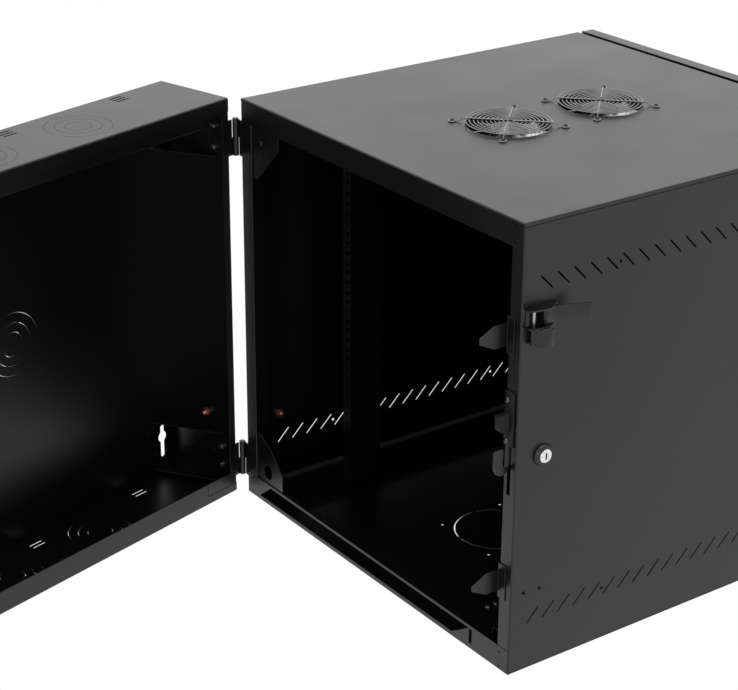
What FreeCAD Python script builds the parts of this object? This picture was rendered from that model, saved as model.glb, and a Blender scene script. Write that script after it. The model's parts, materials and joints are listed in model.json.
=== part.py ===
# Wall mount network cabinet, double section, 12 rack units.
# A shallow wall box is fixed to the wall. The rack body hangs on it by two side hinges and stands open.
# X runs along the wall, Z up, the room lies towards -Y. The origin is the middle of the back, on the wall.
# Every piece of the rack body is drawn closed against the wall box and then turned about the hinge line.
# Body places are given as w (from its hinge side), d (from its rear opening) and a height from the bottom.
import FreeCAD
import Part
import math
import os
import re
import Sketcher

# Driving dimensions in millimetres, angles in degrees
SIZES = {
    "width": 600,
    "height": 600,
    "wall_depth": 127,
    "body_depth": 604,
    "closed_gap": 3,
    "swing_angle": 75,
    "hinge_out": 12,
    "sheet": 1.5,
    "fold_depth": 33.3,
    "lap_lip": 4.6,
    "lap_seam": 0.8,
    "joggle": 7,
    "post_width": 21.5,
    "hinge_post_width": 24,
    "front_post_width": 24,
    "post_leg": 20,
    "wall_post_width": 13,
    "wall_lip_height": 20,
    "slot_pitch": 25.4,
    "slot_first": 36.65,
    "slot_reach": 20.4,
    "slot_slant": 3.1,
    "slot_row_low": 74.8,
    "slot_row_top": 78.8,
    "rack_unit": 44.45,
    "rack_units": 12,
    "rack_hole_span": 465.1,
    "rack_opening": 450,
    "rack_hole": 6.4,
    "rack_hole_low": 6.35,
    "rack_square": 5.6,
    "mount_unit": 5,
    "gusset_reach": 89,
    "gusset_low": 105.4,
    "gusset_high": 107.1,
    "gusset_hole": 21.4,
    "rail_sheet": 2,
    "rail_face": 18,
    "rail_leg": 54.6,
    "rail_rear": 130,
    "rail_front_inset": 44,
    "rail_foot": 6,
    "runner_height": 35.5,
    "runner_flange": 14,
    "runner_end": 20,
    "fan_size": 119,
    "fan_depth": 25.4,
    "fan_holes": 104.8,
    "fan_bore": 114,
    "fan_first": 222,
    "fan_pitch": 159,
    "fan_opening": 113,
    "hub_bore": 52,
    "blade_gap": 1.5,
    "blade_count": 7,
    "blade_pitch": 35,
    "blade_chord": 26,
    "strut_width": 5,
    "guard_wire": 2,
    "guard_lift": 5,
    "guard_outer": 115,
    "guard_foot": 5.5,
    "guard_rings": 5,
    "hinge_pin": 5,
    "hinge_knuckle": 9,
    "hinge_height": 51,
    "hinge_low": 50,
    "hinge_top": 58.5,
    "leaf_reach": 34,
    "leaf_sheet": 2,
    "hinge_screw_pitch": 30,
    "hinge_screw_back": 26,
    "running_gap": 0.3,
    "pin_fit": 0.08,
    "tongue_width": 30,
    "tongue_straight": 20,
    "tongue_reach": 42.7,
    "tongue_inset": 23,
    "tongue_low": 127,
    "tongue_top": 143.5,
    "tongue_flange": 48,
    "latch_plate_width": 17,
    "latch_plate_height": 71,
    "latch_plate_thick": 2.6,
    "latch_plate_rise": 50.5,
    "block_height": 31,
    "block_reach": 18,
    "hook_inset": 12.5,
    "hook_sheet": 2,
    "hook_travel": 25,
    "hook_fall": 18.5,
    "hook_rise": 17.5,
    "hook_reach": 24.5,
    "hook_mouth": 9,
    "hook_inner": 46,
    "lock_back": 42,
    "lock_drop": 3.5,
    "lock_flange": 29,
    "lock_flange_thick": 6,
    "lock_barrel": 20.4,
    "lock_barrel_depth": 8,
    "lock_face": 18,
    "lock_core": 12,
    "lock_nut_thick": 4,
    "crank_pin": 4,
    "crank_play": 0.8,
    "cam_sheet": 2,
    "guide_stud": 5,
    "guide_stud_fall": 26.5,
    "ear_sheet": 2,
    "ear_top": 130,
    "ear_gap": 23,
    "latch_pin": 4,
    "lever_pin_d": 30,
    "lever_pin_out": 8,
    "claw_pin_d": 15,
    "claw_pin_out": 4.6,
    "lever_reach": 58,
    "lever_angle": 16,
    "claw_height": 22,
    "door_gap": 7.5,
    "door_thick": 23,
    "door_border": 62,
    "door_edge": 0.5,
    "door_axis": 9,
    "door_pin": 6,
    "door_arm_sheet": 2,
    "door_arm_play": 0.5,
    "door_lug": 3,
    "door_arm_foot": 16,
    "door_lock_inset": 36,
    "glass": 4,
    "keyhole_slot": 8,
    "keyhole_head": 17,
    "keyhole_side": 26,
    "keyhole_edge": 25,
    "keyhole_length": 52,
    "keyhole_head_up": 33,
    "bracket_height": 80,
    "bracket_edge": 8,
    "bracket_front": 21,
    "bracket_run": 42,
    "bracket_web_front": 33,
    "bracket_web_back": 12,
    "stud_size": 6,
    "stud_length": 18,
    "stud_height": 113,
    "stud_back": 55,
    "screw_head": 8,
    "screw_head_high": 2,
}
S = SIZES

# Places that keep to the far edges of the body
PLACES = {
    "slot_row_high": "(height - slot_row_top)",
    "rail_front": "(body_depth - rail_front_inset)",
    "hinge_high": "(height - hinge_top)",
    "tongue_w": "(width - tongue_inset)",
    "tongue_high": "(height - tongue_top)",
    "latch_plate_middle": "(height / 2 + latch_plate_rise)",
    "hook_w": "(width - hook_inset)",
    "hook_bottom": "(height / 2 - lock_drop - hook_fall)",
    "hook_top": "(height / 2 - lock_drop + hook_rise)",
    "lock_height": "(height / 2 - lock_drop)",
    "guide_stud_height": "(height / 2 - lock_drop - guide_stud_fall)",
    "ear_low": "(height - ear_top)",
    "ear_high": "(height - ear_top + ear_gap)",
    "door_lock_w": "(width - door_lock_inset)",
}

os.makedirs("parts", exist_ok=True)
doc = FreeCAD.newDocument("wall_mount_network_cabinet")
table = doc.addObject("Spreadsheet::Sheet", "Sizes")
for row, (alias, value) in enumerate(SIZES.items(), start=1):
    table.set(f"A{row}", alias)
    table.set(f"B{row}", str(value))
    table.setAlias(f"B{row}", alias)
doc.recompute()

WORD = re.compile(r"\b(" + "|".join(sorted(SIZES, key=len, reverse=True)) + r")\b")
PLACE = re.compile(r"\b(" + "|".join(sorted(PLACES, key=len, reverse=True)) + r")\b")
NODES = []


# Expressions: plain names of sizes become cells of the sheet
def ex(text):
    held = PLACE.sub(lambda found: PLACES[found.group()], str(text))
    return WORD.sub(r"Sizes.\1", held)


def bind(thing, place, text):
    thing.setExpression(place, ex(text))


# Body places as expressions of the row frame
def across(w):
    return f"(width / 2 - ({w}))"


def inward(d):
    return f"(-wall_depth - closed_gap - ({d}))"


def above(z):
    return f"(({z}) - height / 2)"


# Solids bound to the sheet
def block(name, x, y, z):
    made = doc.addObject("Part::Box", name)
    for side, (low, high), place in (("Length", x, "x"), ("Width", y, "y"), ("Height", z, "z")):
        bind(made, side, f"({high}) - ({low})")
        bind(made, f"Placement.Base.{place}", f"{low}")
    return made


def body_block(name, w, d, z):
    return block(
        name,
        (across(w[1]), across(w[0])),
        (inward(d[1]), inward(d[0])),
        (above(z[0]), above(z[1])),
    )


# A round bar along the one direction whose place is given as a pair
def rod(name, radius, x, y, z, sides=0):
    made = doc.addObject("Part::Prism" if sides else "Part::Cylinder", name)
    if sides:
        made.Polygon = sides
    bind(made, "Circumradius" if sides else "Radius", radius)
    places = {"x": x, "y": y, "z": z}
    along = [key for key, place in places.items() if isinstance(place, tuple)][0]
    low, high = places[along]
    bind(made, "Height", f"({high}) - ({low})")
    places[along] = low
    if along == "x":
        turn = FreeCAD.Rotation(FreeCAD.Vector(0, 1, 0), 90)
    elif along == "y":
        turn = FreeCAD.Rotation(FreeCAD.Vector(1, 0, 0), -90)
    else:
        turn = FreeCAD.Rotation()
    made.Placement = FreeCAD.Placement(FreeCAD.Vector(), turn)
    for key, place in places.items():
        bind(made, f"Placement.Base.{key}", place)
    return made


def body_rod(name, radius, w, d, z, sides=0):
    x = (across(w[1]), across(w[0])) if isinstance(w, tuple) else across(w)
    y = (inward(d[1]), inward(d[0])) if isinstance(d, tuple) else inward(d)
    up = (above(z[0]), above(z[1])) if isinstance(z, tuple) else above(z)
    return rod(name, radius, x, y, up, sides)


def compound(name, pieces):
    made = doc.addObject("Part::Compound", name)
    made.Links = list(pieces)
    return made


def cut(name, base, tools):
    made = doc.addObject("Part::Cut", name)
    made.Base = base
    made.Tool = tools[0] if len(tools) == 1 else compound(name + "_tools", tools)
    return made


def fuse(name, pieces):
    made = doc.addObject("Part::MultiFuse", name)
    made.Shapes = list(pieces)
    made.Refine = True
    return made


# The turn that opens the rack body about its hinge line
HINGE_X = "(width / 2 + hinge_out)"
HINGE_Y = "(-wall_depth - closed_gap / 2)"
COS = "cos(swing_angle * 1 deg)"
SIN = "sin(swing_angle * 1 deg)"


def swing(thing):
    bind(thing, "Placement.Rotation.Angle", "swing_angle * 1 deg")
    bind(thing, "Placement.Base.x", f"{HINGE_X} - ({HINGE_X} * {COS} - {HINGE_Y} * {SIN})")
    bind(thing, "Placement.Base.y", f"{HINGE_Y} - ({HINGE_X} * {SIN} + {HINGE_Y} * {COS})")


# A finished piece or group of like pieces: its label is the name of its file
def node(label, pieces, swings=True):
    made = compound(label, pieces) if isinstance(pieces, list) else pieces
    made.Label = label
    if swings:
        swing(made)
    NODES.append(made)
    return made


# PartDesign pieces
def new_body(name):
    return doc.addObject("PartDesign::Body", name)


def plane_of(body, role):
    return [found for found in body.Origin.OriginFeatures if found.Role == role][0]


def sketch_on(body, role, name, offset="0"):
    made = body.newObject("Sketcher::SketchObject", name)
    made.AttachmentSupport = (plane_of(body, role), "")
    made.MapMode = "FlatFace"
    bind(made, "AttachmentOffset.Base.z", offset)
    return made


# A closed outline: each corner is held from the origin by two lengths of the sheet
def outline(sketch, corners):
    count = len(corners)
    first = sketch.GeometryCount
    turn = 2 * math.pi / count
    start = [FreeCAD.Vector(50 * math.cos(turn * k), 50 * math.sin(turn * k), 0) for k in range(count)]
    for k in range(count):
        sketch.addGeometry(Part.LineSegment(start[k], start[(k + 1) % count]))
    for k in range(count):
        sketch.addConstraint(
            Sketcher.Constraint("Coincident", first + k, 2, first + (k + 1) % count, 1)
        )
    for k, corner in enumerate(corners):
        for kind, text, value in zip(("DistanceX", "DistanceY"), corner, (start[k].x, start[k].y)):
            held = sketch.addConstraint(Sketcher.Constraint(kind, -1, 1, first + k, 1, value))
            bind(sketch, f"Constraints[{held}]", text)


def circle(sketch, middle, radius):
    at = sketch.addGeometry(Part.Circle(FreeCAD.Vector(50, 30, 0), FreeCAD.Vector(0, 0, 1), 5))
    for kind, text, value in zip(("DistanceX", "DistanceY"), middle, (50, 30)):
        held = sketch.addConstraint(Sketcher.Constraint(kind, -1, 1, at, 3, value))
        bind(sketch, f"Constraints[{held}]", text)
    held = sketch.addConstraint(Sketcher.Constraint("Radius", at, 5))
    bind(sketch, f"Constraints[{held}]", radius)


def pad(body, sketch, length):
    made = body.newObject("PartDesign::Pad", "Pad")
    made.Profile = sketch
    bind(made, "Length", length)
    return made


def pocket(body, sketch):
    made = body.newObject("PartDesign::Pocket", "Pocket")
    made.Profile = sketch
    made.Type = 1
    made.Midplane = True
    return made


def repeat(body, feature, sketch, axis, count, pitch, backwards=False):
    made = body.newObject("PartDesign::LinearPattern", "Row")
    made.Originals = [feature]
    made.Direction = (sketch, [axis])
    made.Occurrences = count
    made.Mode = "Spacing"
    made.Reversed = backwards
    bind(made, "Offset", pitch)
    body.Tip = made
    return made


# A flat sheet with an outline in the plane of the row frame named by its role
def plate(name, role, corners, low, high):
    body = new_body(name)
    offset = f"-({high})" if role == "XZ_Plane" else low
    sketch = sketch_on(body, role, name + "_outline", offset)
    outline(sketch, corners)
    pad(body, sketch, f"({high}) - ({low})")
    return body


# Hexagon-headed screws: the heads lie on the outer face
def screw_x(name, out, inn, y, z):
    return rod(name, "screw_head / 2", (out, inn), y, z, 6)


# Wall box
def keyhole(name, x, low):
    middle = f"({low}) + keyhole_head_up"
    return [
        block(
            name + "_slot",
            (f"({x}) - keyhole_slot / 2", f"({x}) + keyhole_slot / 2"),
            ("-2 * sheet", "sheet"),
            (f"({low}) + keyhole_slot / 2", f"({low}) + keyhole_length - keyhole_slot / 2"),
        ),
        rod(name + "_foot", "keyhole_slot / 2", x, ("-2 * sheet", "sheet"), f"({low}) + keyhole_slot / 2"),
        rod(
            name + "_top",
            "keyhole_slot / 2",
            x,
            ("-2 * sheet", "sheet"),
            f"({low}) + keyhole_length - keyhole_slot / 2",
        ),
        rod(name + "_head", "keyhole_head / 2", x, ("-2 * sheet", "sheet"), middle, 12),
    ]


def build_wall_box():
    inner = "width / 2 - sheet"
    top = "height / 2"
    front = "-wall_depth"
    back = block("back_sheet", (f"-({inner})", inner), ("-sheet", "0"), (f"-{top} + sheet", f"{top} - sheet"))
    holes = []
    for side, x in (("hinge", "width / 2 - keyhole_side"), ("lock", "keyhole_side - width / 2")):
        holes += keyhole(f"keyhole_low_{side}", x, "keyhole_edge - height / 2")
        holes += keyhole(f"keyhole_high_{side}", x, "height / 2 - keyhole_edge - keyhole_length")
    node("wall_back_panel", cut("wall_back_panel", back, holes), swings=False)

    top_panel = fuse(
        "wall_top_sheet",
        [
            block("wall_top_plate", ("-width / 2", "width / 2"), (front, "0"), (f"{top} - sheet", top)),
            block(
                "wall_top_fold",
                ("-width / 2", "width / 2"),
                (front, f"{front} + sheet"),
                (f"{top} - wall_lip_height", top),
            ),
        ],
    )
    vents = []
    for third, middle in enumerate(("width / 3", "0", "-width / 3")):
        for k in range(3):
            low = f"{front} + 100 + {7.5 * k}"
            vents.append(
                block(
                    f"wall_top_vent_{third}_{k}",
                    (f"{middle} - 11", f"{middle} + 11"),
                    (low, f"{low} + 2.5"),
                    (f"{top} - 2 * sheet", f"{top} + sheet"),
                )
            )
    node("wall_top_panel", cut("wall_top_panel", top_panel, vents), swings=False)

    stiff_end = "width / 2 - 53"
    stiff = "wall_lip_height + 14"
    node(
        "wall_top_stiffener",
        fuse(
            "wall_top_stiffener",
            [
                block(
                    "stiffener_face",
                    (f"-({inner})", stiff_end),
                    (f"{front} + sheet", f"{front} + 2 * sheet"),
                    (f"{top} - ({stiff})", f"{top} - sheet"),
                ),
                block(
                    "stiffener_fold",
                    (f"-({inner})", stiff_end),
                    (f"{front} + sheet", f"{front} + 10 * sheet"),
                    (f"{top} - ({stiff})", f"{top} - ({stiff}) + sheet"),
                ),
            ],
        ),
        swings=False,
    )

    notch = "width / 2 - 61"
    low_panel = fuse(
        "wall_low_sheet",
        [
            block("wall_low_plate", ("-width / 2", "width / 2"), (front, "0"), (f"-{top}", f"-{top} + sheet")),
            block(
                "wall_low_lip",
                ("-width / 2", notch),
                (front, f"{front} + sheet"),
                (f"-{top}", f"-{top} + fold_depth"),
            ),
            block(
                "wall_low_step",
                ("-width / 2", "width / 2"),
                (front, f"{front} + sheet"),
                (f"-{top}", f"-{top} + 13.6"),
            ),
        ],
    )
    low_vents = []
    for third, middle in enumerate(("width / 3", "0", "-width / 3")):
        for k in range(2):
            low = f"{front} + 98 + {7.5 * k}"
            low_vents.append(
                block(
                    f"wall_low_vent_{third}_{k}",
                    (f"{middle} - 11", f"{middle} + 11"),
                    (low, f"{low} + 2.5"),
                    (f"-{top} - sheet", f"-{top} + 2 * sheet"),
                )
            )
    node("wall_bottom_panel", cut("wall_bottom_panel", low_panel, low_vents), swings=False)

    side_z = (f"-{top} + sheet", f"{top} - sheet")
    post_z = (f"-{top} + 14", f"{top} - wall_lip_height - 0.5")
    hinge_side = fuse(
        "wall_hinge_side",
        [
            block("hinge_side_sheet", (inner, "width / 2"), (f"{front} + sheet", "0"), side_z),
            block(
                "hinge_side_post",
                ("width / 2 - wall_post_width", "width / 2"),
                (front, f"{front} + sheet"),
                post_z,
            ),
            block(
                "hinge_side_foot",
                (f"{notch} + 0.5", "width / 2"),
                (front, f"{front} + sheet"),
                (f"-{top} + 14", f"-{top} + fold_depth"),
            ),
            block(
                "hinge_side_foot_return",
                (f"{notch} + 0.5", f"{notch} + 0.5 + sheet"),
                (front, f"{front} + 8"),
                (f"-{top} + 14", f"-{top} + fold_depth"),
            ),
        ],
    )
    node("wall_hinge_side", hinge_side, swings=False)

    lock_post_z = (f"-{top} + fold_depth + 0.5", f"{top} - wall_lip_height - 0.5")
    lock_side = fuse(
        "wall_lock_sheets",
        [
            block("lock_side_sheet", ("-width / 2", f"-({inner})"), (f"{front} + sheet", "0"), side_z),
            block(
                "lock_side_post",
                ("-width / 2", "post_width - width / 2"),
                (front, f"{front} + sheet"),
                lock_post_z,
            ),
        ],
    )
    window = block(
        "lock_side_window",
        (across("width - 4"), across("width - post_width - 4")),
        (f"{front} - sheet", f"{front} + 2 * sheet"),
        (
            above("hook_bottom - hook_travel - 4"),
            above("latch_plate_middle + latch_plate_height / 2 + 4"),
        ),
    )
    node("wall_lock_side", cut("wall_lock_side", lock_side, [window]), swings=False)

    # The hook of the rack body closes round this tab
    strike_x = ("-width / 2 + sheet", "post_width - width / 2 - sheet")
    catch = "hook_top - 10"
    node(
        "hook_strike",
        fuse(
            "hook_strike",
            [
                block(
                    "strike_foot",
                    ("-width / 2 + sheet", "-width / 2 + 2 * sheet"),
                    (f"{front} + 2 * sheet", f"{front} + 2 * sheet + 22"),
                    (above(catch), above(f"{catch} + 24")),
                ),
                block(
                    "strike_tab",
                    strike_x,
                    (f"{front} + 2 * sheet", f"{front} + 3 * sheet"),
                    (above(catch), above(f"{catch} + 12")),
                ),
            ],
        ),
        swings=False,
    )
    keeper_y = f"{front} + 4"
    node(
        "draw_latch_keeper",
        fuse(
            "draw_latch_keeper",
            [
                block(
                    "keeper_foot",
                    ("-width / 2 - sheet", "-width / 2"),
                    (keeper_y, f"{keeper_y} + 30"),
                    (above("ear_low - claw_height"), above("ear_low")),
                ),
                block(
                    "keeper_lip",
                    ("-width / 2 - 10", "-width / 2"),
                    (keeper_y, f"{keeper_y} + sheet"),
                    (above("ear_low - claw_height"), above("ear_low")),
                ),
            ],
        ),
        swings=False,
    )

    # Corner brackets: a web on the side sheet and two three-sided flanges that reach along the back
    brackets = []
    for end, low in (
        ("low", "bracket_edge - height / 2"),
        ("high", "height / 2 - bracket_edge - bracket_height"),
    ):
        for side, hand in (("hinge", 1), ("lock", -1)):
            name = f"bracket_{end}_{side}"
            edge = f"{hand} * (width / 2 - sheet)"
            web_end = f"{hand} * (width / 2 - sheet - bracket_run)"
            corners = [
                (edge, "-sheet"),
                (edge, "bracket_front - wall_depth"),
                (f"{hand} * (width / 2 - 3 * sheet)", "bracket_front - wall_depth"),
                (web_end, "-2 * sheet"),
                (web_end, "-sheet"),
            ]
            inside = f"{hand} * (width / 2 - 2 * sheet)"
            web = block(
                f"{name}_web",
                (inside, edge) if hand > 0 else (edge, inside),
                ("bracket_web_front - wall_depth", "-bracket_web_back"),
                (low, f"{low} + bracket_height"),
            )
            pieces = [web]
            for level, up in (("foot", low), ("head", f"{low} + bracket_height - sheet")):
                pieces.append(plate(f"{name}_{level}", "XY_Plane", corners, up, f"{up} + sheet"))
            brackets.append(fuse(name, pieces))
    node("wall_corner_brackets", brackets, swings=False)

    earth_stud(
        "wall_earth_stud",
        "width / 2 - sheet",
        f"{front} + stud_back",
        above("stud_height"),
        swings=False,
    )


# An earthing stud with its nut and washer, standing on the inner face of the hinge side
def earth_stud(name, face, y, z, swings):
    tip = f"{face} - stud_length"
    parts = [
        rod(name + "_shank", "stud_size / 2", (tip, face), y, z, 10),
        rod(name + "_washer", "stud_size", (f"{face} - 3", face), y, z, 14),
        rod(name + "_nut", "stud_size * 0.9", (f"{face} - 9", f"{face} - 3"), y, z, 6),
    ]
    node(name, fuse(name, parts), swings)


# Hinges
def build_hinges():
    half = "hinge_height / 2"
    wall_leaves = []
    body_leaves = []
    pins = []
    wall_screws = []
    body_screws = []
    for name, middle in (("low", above("hinge_low")), ("high", above("hinge_high"))):
        split = f"({middle})"
        low = f"{split} - {half}"
        high = f"{split} + {half}"
        ranges = {"wall": (low, f"{split} - running_gap / 2"), "body": (f"{split} + running_gap / 2", high)}
        for kind, sign, gather in (("wall", 1, wall_leaves), ("body", -1, body_leaves)):
            near = f"{HINGE_Y} + {sign} * (closed_gap / 2 + 0.5)"
            far = f"{HINGE_Y} + {sign} * (closed_gap / 2 + leaf_reach)"
            edge = f"{HINGE_Y} + {sign} * hinge_knuckle / 2"
            inner_edge = f"{HINGE_Y} + {sign} * (hinge_knuckle / 2 - leaf_sheet)"
            ys = (near, far) if sign > 0 else (far, near)
            arm = (inner_edge, edge) if sign > 0 else (edge, inner_edge)
            pieces = [
                block(
                    f"{kind}_leaf_{name}",
                    ("width / 2", "width / 2 + leaf_sheet"),
                    ys,
                    (low, high),
                ),
                block(f"{kind}_arm_{name}", ("width / 2", HINGE_X), arm, ranges[kind]),
                rod(f"{kind}_knuckle_{name}", "hinge_knuckle / 2", HINGE_X, HINGE_Y, ranges[kind], 12),
            ]
            bore = rod(
                f"{kind}_bore_{name}",
                "hinge_pin / 2 + pin_fit",
                HINGE_X,
                HINGE_Y,
                (f"{low} - 1", f"{high} + 1"),
            )
            leaf = fuse(f"{kind}_leaf_whole_{name}", pieces)
            gather.append(cut(f"{kind}_leaf_bored_{name}", leaf, [bore]))
        pins.append(
            fuse(
                f"hinge_pin_{name}",
                [
                    rod(f"pin_shank_{name}", "hinge_pin / 2", HINGE_X, HINGE_Y, (low, high)),
                    rod(f"pin_head_{name}", "hinge_knuckle / 2", HINGE_X, HINGE_Y, (high, f"{high} + 2"), 12),
                ],
            )
        )
        out = "width / 2 + leaf_sheet"
        for k, z in enumerate((f"{split} - hinge_screw_pitch / 2", f"{split} + hinge_screw_pitch / 2")):
            for kind, sign, gather in (("wall", 1, wall_screws), ("body", -1, body_screws)):
                y = f"{HINGE_Y} + {sign} * (closed_gap / 2 + hinge_screw_back)"
                label = f"{kind}_screw_{name}_{k}"
                head = (out, f"{out} + screw_head_high")
                gather.append(rod(f"{label}_head", "screw_head / 2", head, y, z, 6))
                nut = "width / 2 - sheet"
                gather.append(rod(f"{label}_nut", "screw_head / 2", (f"{nut} - 4", nut), y, z, 6))
    node("wall_hinge_leaves", wall_leaves, swings=False)
    node("body_hinge_leaves", body_leaves)
    node("hinge_pins", pins, swings=False)
    node("wall_hinge_screws", wall_screws, swings=False)
    node("body_hinge_screws", body_screws)


# Rack body: side panels with their slotted vent rows
def side_panel(name, hand, rear_post):
    body = new_body(name)
    outer = f"{hand} * width / 2"
    inner = f"{hand} * (width / 2 - sheet)"
    rear = inward("0")
    front = inward("body_depth")
    section = sketch_on(body, "XY_Plane", name + "_section", above("fold_depth + 0.5"))
    rear_edge = f"{hand} * (width / 2 - {rear_post})"
    front_edge = f"{hand} * (width / 2 - front_post_width)"
    outline(
        section,
        [
            (outer, rear),
            (rear_edge, rear),
            (rear_edge, inward("sheet")),
            (inner, inward("sheet")),
            (inner, inward("body_depth - sheet")),
            (front_edge, inward("body_depth - sheet")),
            (front_edge, front),
            (outer, front),
        ],
    )
    pad(body, section, "height - 2 * fold_depth - 1")
    leg_foot = "gusset_high + 0.5"
    leg = sketch_on(body, "XY_Plane", name + "_leg", above(leg_foot))
    leg_inner = f"{hand} * (width / 2 - {rear_post} + sheet)"
    outline(
        leg,
        [
            (rear_edge, inward("sheet / 2")),
            (rear_edge, inward("post_leg")),
            (leg_inner, inward("post_leg")),
            (leg_inner, inward("sheet / 2")),
        ],
    )
    pad(body, leg, f"height - 2 * ({leg_foot})")
    wall = sketch_on(body, "YZ_Plane", name + "_wall", inner if hand > 0 else outer)
    outline(
        wall,
        [
            (inward("body_depth"), above("sheet")),
            (inward("0"), above("sheet")),
            (inward("0"), above("height - lap_lip - lap_seam")),
            (inward("body_depth"), above("height - lap_lip - lap_seam")),
        ],
    )
    pad(body, wall, "sheet")
    doc.recompute()
    count = int((S["body_depth"] - 2 * S["slot_first"]) / S["slot_pitch"] + 1.5)
    for row, middle, lean in (("low", "slot_row_low", 1), ("high", "slot_row_high", -1)):
        slot = sketch_on(body, "YZ_Plane", f"{name}_slot_{row}")
        start = "slot_first"
        half = "slot_reach / 2"
        thick = "slot_slant / 2"
        outline(
            slot,
            [
                (inward(f"{start} - {half}"), above(f"{middle} - {lean} * ({half} - {thick})")),
                (inward(f"{start} - {half} + {thick}"), above(f"{middle} - {lean} * {half}")),
                (inward(f"{start} + {half}"), above(f"{middle} + {lean} * ({half} - {thick})")),
                (inward(f"{start} + {half} - {thick}"), above(f"{middle} + {lean} * {half}")),
            ],
        )
        made = pocket(body, slot)
        repeat(body, made, slot, "H_Axis", count, "slot_pitch", backwards=True)
    return body


def build_body_shell():
    lock = side_panel("lock_side_panel", -1, "post_width")
    holes = sketch_on(lock, "YZ_Plane", "lock_side_holes")
    circle(holes, (inward("lock_back"), above("lock_height")), "lock_barrel / 2 + 0.2")
    pocket(lock, holes)
    slit = sketch_on(lock, "XZ_Plane", "hook_slit")
    low = above("hook_bottom - hook_travel - 4")
    high = above("hook_top + 1")
    outline(
        slit,
        [
            (across("hook_w + 3"), low),
            (across("hook_w - 3"), low),
            (across("hook_w - 3"), high),
            (across("hook_w + 3"), high),
        ],
    )
    through = body_pocket_to_depth(lock, slit)
    lock.Tip = through
    node("lock_side_panel", lock)
    hinge = side_panel("hinge_side_panel", 1, "hinge_post_width")
    node("hinge_side_panel", hinge)

    # Joggled returns by which the side panels carry the top
    for side, w0, w1, w2 in (
        ("hinge", "sheet", "2 * sheet", "front_post_width"),
        ("lock", "width - 2 * sheet", "width - sheet", "width - front_post_width"),
    ):
        pieces = [
            body_block(
                f"{side}_joggle",
                (w0, w1),
                ("2 * sheet", "body_depth - 2 * sheet"),
                ("height - sheet - joggle - lap_lip", "height - sheet"),
            ),
            body_block(
                f"{side}_return",
                (w0, w2) if side == "hinge" else (w2, w1),
                ("2 * sheet", "body_depth - 2 * sheet"),
                ("height - 2 * sheet", "height - sheet"),
            ),
        ]
        node(f"{side}_top_angle", fuse(f"{side}_top_angle", pieces))

    top = fuse(
        "top_sheets",
        [
            body_block("top_sheet", ("0", "width"), ("0", "body_depth"), ("height - sheet", "height")),
            body_block("top_lap_hinge", ("0", "sheet"), ("0", "body_depth"), ("height - lap_lip", "height")),
            body_block(
                "top_lap_lock",
                ("width - sheet", "width"),
                ("0", "body_depth"),
                ("height - lap_lip", "height"),
            ),
            body_block("top_rear_fold", ("0", "width"), ("0", "sheet"), ("height - fold_depth", "height")),
            body_block(
                "top_front_fold",
                ("0", "width"),
                ("body_depth - sheet", "body_depth"),
                ("height - fold_depth", "height"),
            ),
        ],
    )
    openings = []
    for k in range(2):
        d = f"fan_first + {k} * fan_pitch"
        openings.append(
            body_rod(
                f"fan_opening_{k}",
                "fan_opening / 2",
                "width / 2",
                d,
                ("height - 2 * sheet", "height + 1"),
                32,
            )
        )
        for i, a in enumerate((-1, 1)):
            for j, b in enumerate((-1, 1)):
                openings.append(
                    body_rod(
                        f"fan_screw_hole_{k}{i}{j}",
                        "2.4",
                        f"width / 2 + {a} * fan_holes / 2",
                        f"{d} + {b} * fan_holes / 2",
                        ("height - 2 * sheet", "height + 1"),
                        4,
                    )
                )
    side_cuts = [
        body_block(
            "top_fold_relief_hinge",
            ("-1", "sheet + 0.2"),
            ("-1", "body_depth + 1"),
            ("height - fold_depth - 1", "height - lap_lip"),
        ),
        body_block(
            "top_fold_relief_lock",
            ("width - sheet - 0.2", "width + 1"),
            ("-1", "body_depth + 1"),
            ("height - fold_depth - 1", "height - lap_lip"),
        ),
    ]
    node("top_panel", cut("top_panel", top, openings + side_cuts))

    low_w = ("sheet + 0.2", "width - sheet - 0.2")
    bottom = fuse(
        "bottom_sheets",
        [
            body_block("bottom_sheet", ("0", "width"), ("0", "body_depth"), ("0", "sheet")),
            body_block("bottom_rear_fold", low_w, ("0", "sheet"), ("0", "fold_depth")),
            body_block(
                "bottom_rear_lip",
                ("92", "width - 92"),
                ("0", "6"),
                ("fold_depth - sheet", "fold_depth"),
            ),
            body_block("bottom_front_fold", low_w, ("body_depth - sheet", "body_depth"), ("0", "fold_depth")),
        ],
    )
    window = body_window()
    tie_slot = body_block("bottom_tie_slot", ("width - 78.5", "width - 73"), ("-1", "2 * sheet"), ("8", "28"))
    floor_holes = []
    for k in range(2):
        for i, a in enumerate((-1, 1)):
            for j, b in enumerate((-1, 1)):
                floor_holes.append(
                    body_rod(
                        f"floor_hole_{k}{i}{j}",
                        "2.4",
                        f"width / 2 + {a} * fan_holes / 2",
                        f"fan_first + {k} * fan_pitch + {b} * fan_holes / 2",
                        ("-1", "2 * sheet"),
                        4,
                    )
                )
    node("bottom_panel", cut("bottom_panel", bottom, [window, tie_slot] + floor_holes))

    gussets = []
    for end, flip, rest in (
        ("low", 1, (("gusset_reach", "58.6"), ("62.6", "87.7"), ("31.4", "gusset_low"), ("1.8", "gusset_low"))),
        ("high", -1, (("gusset_reach", "53.2"), ("36.1", "gusset_high"), ("1.8", "gusset_high"))),
    ):

        def at(w, z):
            return (f"width / 2 - ({w})", f"{flip} * ({z} - height / 2)")

        corners = [at("1.8", "fold_depth - 4"), at("gusset_reach", "fold_depth - 4")]
        corners += [at(w, z) for w, z in rest]
        body = plate(f"gusset_{end}", "XZ_Plane", corners, inward("2 * sheet"), inward("sheet"))
        if end == "low":
            hole = sketch_on(body, "XZ_Plane", "gusset_hole_sketch")
            circle(hole, at("51.2", "51.1"), "gusset_hole / 2")
            pocket(body, hole)
        gussets.append(body)
    node("corner_gussets", gussets)


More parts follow.
